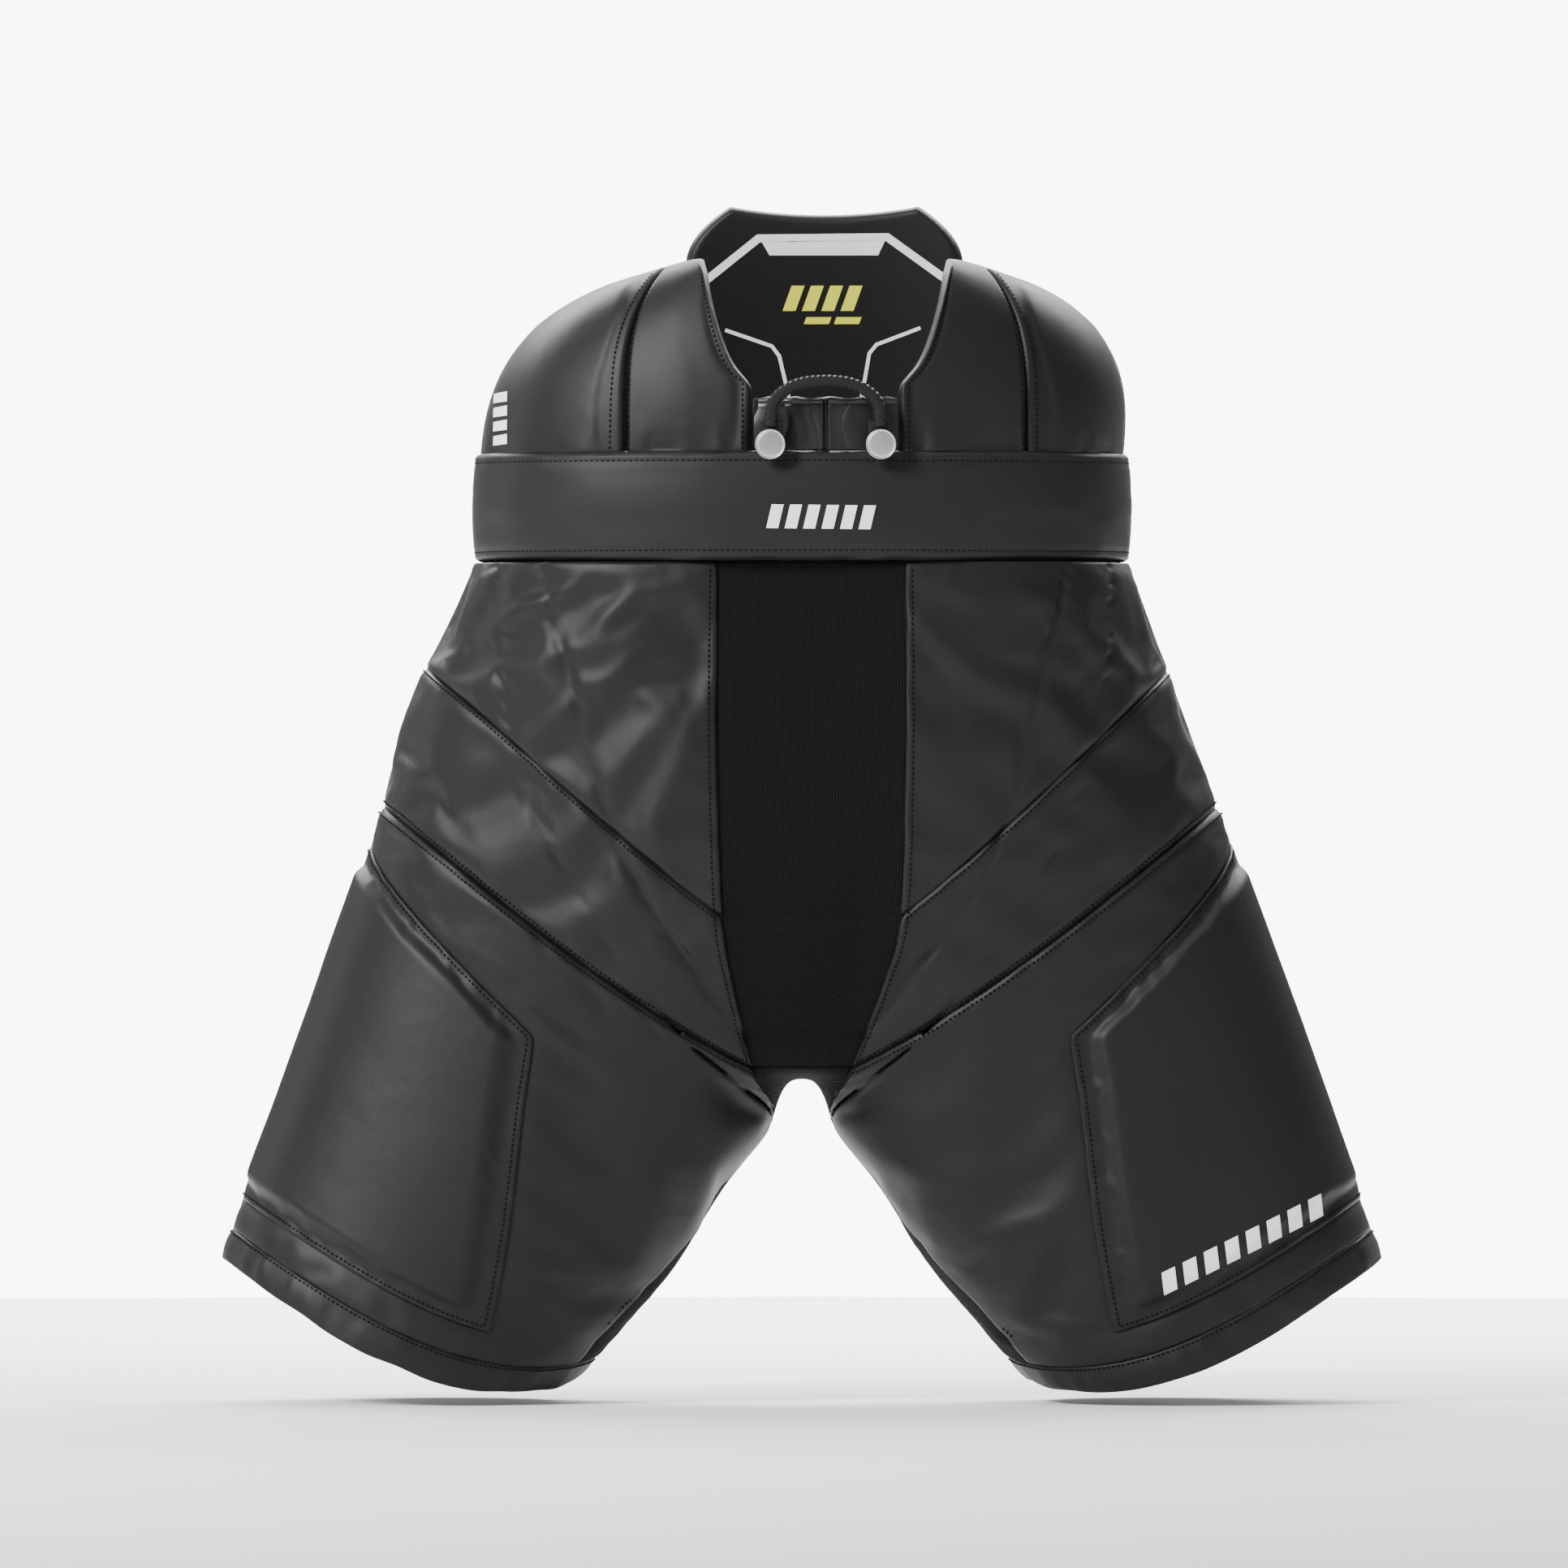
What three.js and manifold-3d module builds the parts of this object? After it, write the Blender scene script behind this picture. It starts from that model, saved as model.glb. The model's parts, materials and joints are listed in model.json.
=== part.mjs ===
// Ice-hockey pants: a padded belt, hip and kidney pads above it, a nylon shell with a stretch
// panel at the front, and two wide legs with padded thigh pockets.
// Millimetres, +Z up. The front faces -Y. X is 0 at the crotch. Heights are drawn above the
// lowest hem, and the finished group is lowered so that its origin is the middle of the belt.
// Names ending in _left lie at negative X, as the wearer's front is seen.

import * as THREE from 'three';
import { mergeVertices } from 'three/addons/utils/BufferGeometryUtils.js';
import Module from 'manifold-3d';

const wasm = await Module();
wasm.setup();

// ---------------------------------------------------------------- driving dimensions

// Heights above the lowest point of the hem.
const belt_bottom = 411;
const belt_height = 54;
const crotch_height = 163;
const fork_height = 138;
const hem_inner_height = 9;
const hem_outer_height = 68;

// Waist and belt.
const waist_width = 322;
const waist_depth = 212;
const belt_thickness = 8;
const belt_bulge = 1.5;

// Legs, measured from the middle of the garment.
const hem_outer = 286;
const hem_inner = 112;
const fork_half = 14;
const hem_sag = 23;
const leg_depth = 188;
const seat_fullness = 8;
const hem_band_rows = 0.4;

// Corners of the thigh pocket: widths of its inner edge and rows of its top, and the share of its
// width over which the padding rises.
const pocket_inner_top = 0.532;
const pocket_inner_foot = 0.391;
const pocket_top_inner = 5.3;
const pocket_top_outer = 4.5;
const pocket_slope = 0.1;

// How far the knit strip on the inner leg reaches to the front and to the back, as a width.
const strip_front = 1 / 6;
const strip_rear = 1 / 3;

// Stretch panel at the front and the same at the back.
const stretch_half = 46;
const stretch_shift = 4.5;

// Pads above the belt.
const wing_height = 92;
const wing_dome = 104;
const side_height = 66;
const front_rise = 12;
const rear_height = 78;
const wing_shift = 10;
const closure_shift = 11.5;
const fly_half = 36;
const notch_half = 61;
const yoke_half = 98;
const kidney_half = 75;
const kidney_height = 121;
const kidney_lean = 0.12;
const foam_margin = 0.06;
const yoke_thickness = 5;
const hip_thickness = 6;
const insert_thickness = 7;
const board_thickness = 5;
const kidney_foam_thickness = 6;
const fly_height = 26;
const fly_thickness = 3;

// Cloth and padding.
const cloth = 2.4;
const gusset_half = 9;
const gusset_end_half = 19;
const gusset_sag = 6;
const tailbone_half = 32;
const tailbone_top_row = 0.6;
const tailbone_foot_row = 2.4;
const tailbone_thickness = 8;
const pocket_rise = 3.2;
const pocket_cloth = 1.6;
const shell_thickness = 2.6;
const foam_thickness = 5;
const liner_thickness = 1.6;

// Snaps and hang loop.
const snap_half_pitch = 27;
const snap_lift = 2.7;
const cap_radius = 7.4;
const cap_thickness = 1.8;
const socket_radius = 6;
const socket_thickness = 1.5;
const stud_radius = 5.5;
const stud_thickness = 1;
const knob_radius = 2.2;
const knob_length = 1.6;
const shank_radius = 1.7;
const tab_width = 8.4;
const tab_length = 17;
const tab_thickness = 1.2;
const loop_height = 22;
const loop_width = 7;
const loop_thickness = 3.6;

// Clearances.
const gap = 0.3;
const swing_gap = 0.95;
const stretch_gap = 0.7;
const fork_gap = 3;
const snap_gap = 0.4;
const padding_gap = 0.8;
const hip_insert_gap = 1.2;
const insert_margin = 1 / 6;
const kidney_clearance = 3;
const kidney_lift = 0.6;

// ---------------------------------------------------------------- small helpers

const mix = (a, b, t) => a + (b - a) * t;
const clamp = (v, low = 0, high = 1) => Math.min(high, Math.max(low, v));
const ease = (t) => clamp(t) ** 2 * (3 - 2 * clamp(t));

// A smooth curve through evenly spaced values: f(0) is the first, f(1) the second and so on.
function through(values) {
  const last = values.length - 1;
  const at = (i) => {
    if (i < 0) return 2 * values[0] - values[1];
    if (i > last) return 2 * values[last] - values[last - 1];
    return values[i];
  };
  return (x) => {
    const i = clamp(Math.floor(x), 0, last - 1);
    const t = x - i;
    const [a, b, c, d] = [at(i - 1), at(i), at(i + 1), at(i + 2)];
    return b + 0.5 * t * (c - a + t * (2 * a - 5 * b + 4 * c - d + t * (3 * (b - c) + d - a)));
  };
}

function solidFrom(positions, faces) {
  const geometry = new THREE.BufferGeometry();
  geometry.setAttribute('position', new THREE.Float32BufferAttribute(positions, 3));
  geometry.setIndex(faces);
  const [a, b, c] = [new THREE.Vector3(), new THREE.Vector3(), new THREE.Vector3()];
  const spot = geometry.getAttribute('position');
  let volume = 0;
  for (let i = 0; i < faces.length; i += 3) {
    a.fromBufferAttribute(spot, faces[i]);
    b.fromBufferAttribute(spot, faces[i + 1]);
    c.fromBufferAttribute(spot, faces[i + 2]);
    volume += a.dot(b.cross(c));
  }
  if (volume < 0) geometry.setIndex(faces.map((_, i) => faces[i - (i % 3) + [0, 2, 1][i % 3]]));
  return geometry;
}

// A closed panel between an outer and an inner face, each a function of (u, v) in 0..1.
// A ring panel closes on itself in u.
function panel(outer, inner, columns, rows, ring = false) {
  const positions = [];
  const across = ring ? columns : columns + 1;
  for (const face of [outer, inner]) {
    for (let j = 0; j <= rows; j++) {
      for (let i = 0; i < across; i++) {
        const p = face(i / columns, j / rows);
        positions.push(p.x, p.y, p.z);
      }
    }
  }
  const layer = across * (rows + 1);
  const id = (side, i, j) => side * layer + j * across + (i % across);
  const faces = [];
  const quad = (a, b, c, d) => faces.push(a, b, c, a, c, d);
  for (let j = 0; j < rows; j++) {
    for (let i = 0; i < columns; i++) {
      quad(id(0, i, j), id(0, i + 1, j), id(0, i + 1, j + 1), id(0, i, j + 1));
      quad(id(1, i, j + 1), id(1, i + 1, j + 1), id(1, i + 1, j), id(1, i, j));
    }
  }
  for (let i = 0; i < columns; i++) {
    quad(id(1, i, 0), id(1, i + 1, 0), id(0, i + 1, 0), id(0, i, 0));
    quad(id(0, i, rows), id(0, i + 1, rows), id(1, i + 1, rows), id(1, i, rows));
  }
  for (let j = 0; j < rows && !ring; j++) {
    quad(id(0, 0, j), id(0, 0, j + 1), id(1, 0, j + 1), id(1, 0, j));
    quad(id(0, columns, j + 1), id(0, columns, j), id(1, columns, j), id(1, columns, j + 1));
  }
  return solidFrom(positions, faces);
}

function toManifold(geometry) {
  const bare = geometry.clone();
  bare.deleteAttribute('normal');
  bare.deleteAttribute('uv');
  const merged = mergeVertices(bare, 1e-4);
  return new wasm.Manifold(new wasm.Mesh({
    numProp: 3,
    vertProperties: new Float32Array(merged.getAttribute('position').array),
    triVerts: new Uint32Array(merged.getIndex().array),
  }));
}

function fromManifold(solid) {
  const mesh = solid.getMesh();
  const geometry = new THREE.BufferGeometry();
  geometry.setAttribute('position', new THREE.BufferAttribute(mesh.vertProperties, 3));
  geometry.setIndex(new THREE.BufferAttribute(mesh.triVerts, 1));
  return geometry;
}

// ---------------------------------------------------------------- shape of the shell
//
// The shell is drawn on rows 0..9 from the belt to the hem and on a width 0..1 from the middle
// of the garment (row 0..4) or the inner leg (row 5..9) to the side seam. Row 2 is the upper
// diagonal seam and row 4 the lower one, where the legs swing.

const seam_row = 2;
const swing_row = 4;
const fork_row = 5;
const hem_row = 9;
const band_row = hem_row - hem_band_rows;
const hip_curve = 2.4;
const rise = belt_bottom - crotch_height;
const hinge_drop = 18;
const hinge_height = crotch_height - hinge_drop;

const inner_x = through([
  stretch_half, 1.01 * stretch_half, 0.95 * stretch_half, 0.78 * stretch_half,
  0.52 * stretch_half, fork_half, mix(fork_half, hem_inner, 0.25), mix(fork_half, hem_inner, 0.48),
  mix(fork_half, hem_inner, 0.735), hem_inner]);
const inner_z = through([
  belt_bottom, belt_bottom - 0.33 * rise, belt_bottom - 0.7 * rise, belt_bottom - 0.85 * rise,
  crotch_height, fork_height, mix(fork_height, hem_inner_height, 0.27),
  mix(fork_height, hem_inner_height, 0.54), mix(fork_height, hem_inner_height, 0.775),
  hem_inner_height]);
const side_drop = through([0, 0.07, 0.155, 0.25, 0.35, 0.46, 0.6, 0.75, 0.885, 1]);
const front_depth = through([1.04, 1.06, 1.03, 1.01, 1, 0.99, 0.98, 0.98, 0.97, 0.97]);
const back_fullness = through([0, 0.7, 1, 0.5, 0, 0, 0, 0, 0, 0]);
const inner_round = through([0, 0, 0.05, 0.25, 0.62, 1, 1, 1, 1, 1]);
const shift_share = through([1, 1, 1, 0.6, 0, 0, 0, 0, 0, 0]);

const superRound = (s) => (1 - clamp(Math.abs(s)) ** hip_curve) ** (1 / hip_curve);

// A point of the shell's outer face. side is -1 or 1, face is -1 at the front and 1 at the back.
function shellPoint(side, face, width, row) {
  const round = clamp(inner_round(row));
  const w = clamp(width);
  const s = mix(Math.sin((Math.PI / 2) * w), (1 - Math.cos(Math.PI * w)) / 2, round);
  const shift = face < 0 ? stretch_shift * shift_share(row) : 0;
  const drop = side_drop(row);
  const outer_x = mix(waist_width / 2, hem_outer, drop);
  const outer_z = mix(belt_bottom, hem_outer_height, drop);
  const sag = hem_sag * (row / hem_row) ** 1.3 * Math.sin(Math.PI * s ** 0.8);
  const depth = (leg_depth / 2) * front_depth(row) + (face > 0 ? seat_fullness * back_fullness(row) : 0);
  const y = depth * superRound(s) * Math.sqrt(Math.max(0, 1 - round * (1 - s) ** 3));
  const x = mix(inner_x(row) + side * shift, outer_x, s);
  return new THREE.Vector3(side * x, face * (y + (gap / 2) * s), mix(inner_z(row), outer_z, s) - sag);
}

// The unit normal that points out of the garment.
function shellNormal(side, face, width, row) {
  const step = 0.002;
  const w = clamp(width, 2 * step, 1 - 2 * step);
  const r = clamp(row, 2 * step, hem_row - 2 * step);
  const across = shellPoint(side, face, w + step, r).sub(shellPoint(side, face, w - step, r));
  const down = shellPoint(side, face, w, r + step).sub(shellPoint(side, face, w, r - step));
  const normal = across.cross(down).normalize();
  return normal.multiplyScalar(side * face);
}

function shellAt(side, face, width, row, offset) {
  const p = shellPoint(side, face, width, row);
  p.addScaledVector(shellNormal(side, face, width, row), offset);
  const least = (gap / 2) * clamp(4 * (width - 0.75));
  if (width > 0.75 && p.y * face < least) p.y = face * least;
  return p;
}

// Radius of the lower diagonal seam about the leg's hinge, as a function of X. The shell above the
// seam keeps outside that cone and the leg inside it, so the leg swings clear.
const seam_steps = 80;
const seamRadii = Array.from({ length: seam_steps + 1 }, (_, i) => {
  const p = shellPoint(1, -1, i / seam_steps, swing_row);
  return [p.x, Math.hypot(p.y, p.z - hinge_height)];
});

function seamRadius(x) {
  const distance = Math.abs(x);
  if (distance <= seamRadii[0][0]) return seamRadii[0][1];
  for (let i = 1; i <= seam_steps; i++) {
    const [x0, r0] = seamRadii[i - 1];
    const [x1, r1] = seamRadii[i];
    if (distance <= x1) return mix(r0, r1, (distance - x0) / (x1 - x0));
  }
  return seamRadii[seam_steps][1];
}

// Puts a point of a panel's edge on the cone, a little to one side of it.
function ontoSeam(p, away) {
  const radius = seamRadius(p.x) + (away * swing_gap) / 2;
  const reach = Math.max(radius * radius - p.y * p.y, 1);
  p.z = hinge_height + Math.sqrt(reach);
  return p;
}

// A panel of the shell, between two offsets from the outer face. place(u, v) gives its face,
// width and row.
function shellPanel(side, place, outer, inner, columns, rows, seam = 0) {
  const at = (offset) => (u, v) => {
    const [face, width, row] = place(u, v);
    const lift = typeof offset === 'function' ? offset(u, v) : offset;
    const p = shellAt(side, face, width, row, lift);
    return seam !== 0 && Math.abs(row - swing_row) < 1e-6 ? ontoSeam(p, seam) : p;
  };
  return panel(at(outer), at(inner), columns, rows);
}

// Half of a seam's gap, in rows and in widths.
const row_gap = (gap / 2) / 40;
const width_gap = (gap / 2) / 150;

// ---------------------------------------------------------------- shape above the belt

const belt_top = belt_bottom + gap + belt_height;
const wing_base = belt_top + gap;
const wingShift = (h) => (wing_shift * h) / wing_height;
const wingHalfX = (h) => (waist_width / 2 - 4) * superRound(h / wing_dome);
const wingHalfY = (h) => (waist_depth / 2 - 3) * superRound(h / (1.3 * wing_dome));
const notchHalf = (h) => mix(fly_half, notch_half,
  Math.sqrt(clamp((h - fly_height - 8) / (wing_height - fly_height - 8))));
const yokeHalf = (h) => yoke_half - 20 * (h / wing_height) ** 4;
const kidneyHalf = (v) => kidney_half - 6 * v - 22 * clamp((v - 0.77) / 0.23) ** 2;

const roundSin = (angle) => Math.sign(Math.sin(angle)) * Math.abs(Math.sin(angle)) ** (2 / hip_curve);
const roundCos = (angle) => Math.sign(Math.cos(angle)) * Math.abs(Math.cos(angle)) ** (2 / hip_curve);

// A point of the wall above the belt, at an X and a height over the belt.
function wallPoint(x, h, face) {
  const y = wingHalfY(h) * superRound((x - wingShift(h)) / wingHalfX(h));
  return new THREE.Vector3(x, face * y, wing_base + h);
}

// The wall's angle from the front at an X and a height.
function wallAngle(side, x, h) {
  const share = clamp((side * (x - wingShift(h))) / wingHalfX(h));
  return Math.asin(share ** (hip_curve / 2));
}

// The offset of an inner face straight towards the middle of the waist.
function inward(p, distance, h) {
  const out = new THREE.Vector3((p.x - wingShift(h)) / wingHalfX(h) ** 2, p.y / wingHalfY(h) ** 2, 0);
  return p.clone().addScaledVector(out.normalize(), -distance);
}

// ---------------------------------------------------------------- the pieces

const nylon = { color: 0x2a282a, roughness: 0.62, metalness: 0 };
const knit = { color: 0x1c1a1a, roughness: 0.9, metalness: 0 };
const satin = { color: 0x242226, roughness: 0.45, metalness: 0 };
const foam = { color: 0x3a3c42, roughness: 0.95, metalness: 0 };
const plastic = { color: 0x17181a, roughness: 0.4, metalness: 0 };
const nickel = { color: 0xc8c5be, roughness: 0.35, metalness: 1 };
const braid = { color: 0x161516, roughness: 0.85, metalness: 0 };

const pants = new THREE.Group();

function add(name, geometry, finish, place = [0, 0, 0]) {
  const mesh = new THREE.Mesh(geometry, new THREE.MeshStandardMaterial(finish));
  mesh.name = name;
  mesh.position.set(...place);
  pants.add(mesh);
}

const sides = [[-1, 'left'], [1, 'right']];

function addBelt() {
  const point = (face) => (u, v, inset) => {
    const angle = Math.PI * (u - 0.5);
    const bulge = belt_bulge * Math.sin(Math.PI * v) - inset;
    const x = (waist_width / 2 + bulge) * roundSin(angle);
    const y = (waist_depth / 2 + bulge) * roundCos(angle) + gap / 2;
    return new THREE.Vector3(x, face * y, belt_bottom + gap + belt_height * v);
  };
  for (const [face, name] of [[-1, 'belt_front'], [1, 'belt_back']]) {
    const at = point(face);
    add(name, panel((u, v) => at(u, v, 0), (u, v) => at(u, v, belt_thickness), 18, 2), satin);
  }
}

function addWings() {
  const from = width_gap;
  for (const [side, name] of sides) {
    const yoke = (inset) => (u, v) => {
      const h = v * (wing_height - 4 * u * u);
      const x = closure_shift + side * mix(notchHalf(h), yokeHalf(h), u);
      return inward(wallPoint(x, h, -1), inset, h);
    };
    add(`yoke_${name}`, panel(yoke(0), yoke(yoke_thickness), 4, 5), nylon);

    const rim = through([wing_height - 4, side_height + front_rise, side_height, side_height + 2, rear_height]);
    const hip = (inset, margin) => (u, v) => {
      const share = mix(margin, 1 - margin, u);
      const h = mix(margin, 1 - margin, v) * rim(4 * share);
      const front = wallAngle(side, closure_shift + side * (yokeHalf(h) + 2 * gap), h);
      const rear = Math.PI - wallAngle(side, closure_shift + side * (kidney_half + kidney_clearance), h);
      const angle = mix(front + from, rear, share);
      const x = wingShift(h) + side * wingHalfX(h) * roundSin(angle);
      const y = -wingHalfY(h) * roundCos(angle);
      return inward(new THREE.Vector3(x, y, wing_base + h), inset, h);
    };
    add(`hip_pad_${name}`, panel(hip(0, 0), hip(hip_thickness, 0), 12, 6), nylon);
    const start = hip_thickness + hip_insert_gap;
    add(`hip_insert_${name}`,
      panel(hip(start, insert_margin), hip(start + insert_thickness, insert_margin), 8, 4), foam);
  }
}

function addKidneyPad() {
  const point = (inset, margin) => (u, v) => {
    const height = mix(margin, 1 - margin, v);
    const share = mix(-1 + margin, 1 - margin, u);
    const x = closure_shift + share * kidneyHalf(height);
    const top = kidney_height - 4 * (1 - share * share);
    const lean = kidney_lean * height * kidney_height;
    const y = wingHalfY(0) * superRound(x / wingHalfX(0)) - lean - inset;
    return new THREE.Vector3(x, y, wing_base + kidney_lift + height * top);
  };
  add('kidney_board', panel(point(0, 0), point(board_thickness, 0), 14, 5), satin);
  const start = board_thickness + padding_gap;
  const foam_back = start + kidney_foam_thickness;
  add('kidney_foam', panel(point(start, foam_margin), point(foam_back, foam_margin), 14, 5), foam);
}

// Where the snaps sit: their X, the height of their axis and the front of the belt.
const snapX = (side) => closure_shift + side * snap_half_pitch;
const snap_z = belt_top + snap_lift;
const belt_front_y = -(waist_depth / 2 + belt_bulge + gap);

function turned(outline) {
  return new THREE.LatheGeometry(outline.map(([r, h]) => new THREE.Vector2(r, h)), 16);
}

function addFly() {
  const point = (inset) => (u, v) => {
    const h = v * fly_height;
    const p = wallPoint(closure_shift + mix(-1, 1, u) * (fly_half - 3 * gap), h, -1);
    return p.setY(p.y + inset);
  };
  let solid = toManifold(panel(point(0), point(fly_thickness), 8, 3));
  for (const [side] of sides) {
    const bore = new THREE.CylinderGeometry(shank_radius + gap, shank_radius + gap, 30, 16);
    bore.translate(snapX(side), -waist_depth / 2, snap_z);
    solid = solid.subtract(toManifold(bore));
  }
  add('fly_gather', fromManifold(solid), satin);
}

// Each snap is stacked forwards along -Y: post, stud, socket, loop tab, cap.
function addSnaps() {
  const stud_back = -belt_front_y + gap;
  const stud_front = stud_back + stud_thickness;
  const socket_back = stud_front + snap_gap;
  const tab_back = socket_back + socket_thickness + snap_gap;
  const cap_back = tab_back + tab_thickness + snap_gap;
  for (const [side, name] of sides) {
    const place = [snapX(side), 0, snap_z];
    const belt_back_y = (waist_depth / 2 - belt_thickness)
      * superRound((Math.abs(snapX(side)) + stud_radius) / (waist_width / 2 - belt_thickness));
    const post_head = belt_back_y - gap - stud_thickness;
    const pieces = [
      ['snap_post', [[0, post_head], [stud_radius, post_head], [stud_radius, post_head + stud_thickness],
        [shank_radius, post_head + stud_thickness], [shank_radius, stud_back - gap], [0, stud_back - gap]]],
      ['snap_stud', [[0, stud_back], [stud_radius, stud_back], [stud_radius, stud_front],
        [knob_radius, stud_front], [knob_radius, stud_front + knob_length], [0, stud_front + knob_length]]],
      ['snap_socket', [[knob_radius + gap, socket_back], [socket_radius, socket_back],
        [socket_radius, socket_back + socket_thickness], [knob_radius + gap, socket_back + socket_thickness],
        [knob_radius + gap, socket_back]]],
      ['snap_cap', [[0, cap_back - tab_thickness], [shank_radius, cap_back - tab_thickness],
        [shank_radius, cap_back], [cap_radius - 0.5, cap_back], [cap_radius, cap_back + 0.5],
        [cap_radius, cap_back + 0.8 * cap_thickness], [cap_radius - 0.8, cap_back + cap_thickness],
        [cap_radius - 1.6, cap_back + 0.8 * cap_thickness], [0, cap_back + 0.8 * cap_thickness]]],
    ];
    for (const [piece, outline] of pieces) {
      const geometry = turned(outline);
      geometry.rotateX(Math.PI);
      geometry.translate(place[0], 0, place[2]);
      add(`${piece}_${name}`, geometry, nickel);
    }
    const slab = new THREE.BoxGeometry(tab_width, tab_thickness, tab_length, 1, 1, 1);
    slab.translate(place[0], -(tab_back + tab_thickness / 2), snap_z);
    const bore = new THREE.CylinderGeometry(shank_radius + gap, shank_radius + gap, 10, 16);
    bore.translate(place[0], -(tab_back + tab_thickness / 2), snap_z);
    add(`loop_tab_${name}`, fromManifold(toManifold(slab).subtract(toManifold(bore))), braid);
  }

  const foot = snap_z + tab_length / 2 + gap;
  const arch = through([0, 0.55, 0.9, 1, 0.9, 0.55, 0].map((v) => foot + loop_height * v));
  const spread = [-1, -0.93, -0.55, 0, 0.55, 0.93, 1];
  const route = through(spread.map((v) => closure_shift + snap_half_pitch * v));
  const steps = 19;
  const y = -(tab_back + tab_thickness / 2);
  const points = Array.from({ length: steps + 1 }, (_, i) => {
    const t = (6 * i) / steps;
    return new THREE.Vector2(route(t), arch(t));
  });
  const edge = (offset) => points.map((p, i) => {
    const before = points[Math.max(i - 1, 0)];
    const after = points[Math.min(i + 1, steps)];
    const along = after.clone().sub(before).normalize();
    if (i === 0 || i === steps) along.set(0, i === 0 ? 1 : -1);
    return p.clone().add(new THREE.Vector2(-along.y, along.x).multiplyScalar(offset));
  });
  const outline = [...edge(loop_thickness / 2), ...edge(-loop_thickness / 2).reverse()];
  const strap = new THREE.ExtrudeGeometry(new THREE.Shape(outline), {
    depth: loop_width, bevelEnabled: false, steps: 1 });
  strap.rotateX(Math.PI / 2);
  strap.translate(0, y + loop_width / 2, 0);
  add('hang_loop', strap, braid);
}

// The knit panels between the nylon halves, at the front and at the back, and the gusset.
function addStretchPanels() {
  const at = (face, inset) => (u, v) => {
    const row = v * swing_row;
    const side = u < 0.5 ? -1 : 1;
    const edge = shellAt(side, face, 0, row, -inset);
    const shift = face < 0 ? stretch_shift * shift_share(row) : 0;
    const half = inner_x(row) - mix(stretch_gap, fork_gap, clamp(inner_round(row)));
    return new THREE.Vector3(shift + mix(-1, 1, u) * half, edge.y, inner_z(row));
  };
  for (const [face, name] of [[-1, 'front_stretch_panel'], [1, 'rear_stretch_panel']]) {
    add(name, panel(at(face, 0), at(face, cloth), 4, 8), knit);
  }
  const end = -shellPoint(1, -1, 0, swing_row).y;
  const gusset = (drop) => (u, v) => {
    const share = mix(-1, 1, v);
    const half = mix(gusset_half, gusset_end_half, Math.abs(share) ** 1.5);
    const z = crotch_height - gap - gusset_sag * (1 - share * share) - drop;
    return new THREE.Vector3(mix(-1, 1, u) * half, share * end, z);
  };
  add('crotch_gusset', panel(gusset(0), gusset(cloth), 2, 8), knit);

  const tail = (inset) => (u, v) => {
    const row = mix(tailbone_top_row, tailbone_foot_row, v);
    const y = shellAt(1, 1, 0, row, -inset).y;
    return new THREE.Vector3(mix(-1, 1, u) * tailbone_half, y, inner_z(row));
  };
  const tail_start = cloth + padding_gap;
  add('tailbone_pad', panel(tail(tail_start), tail(tail_start + tailbone_thickness), 2, 5), foam);
}

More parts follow.
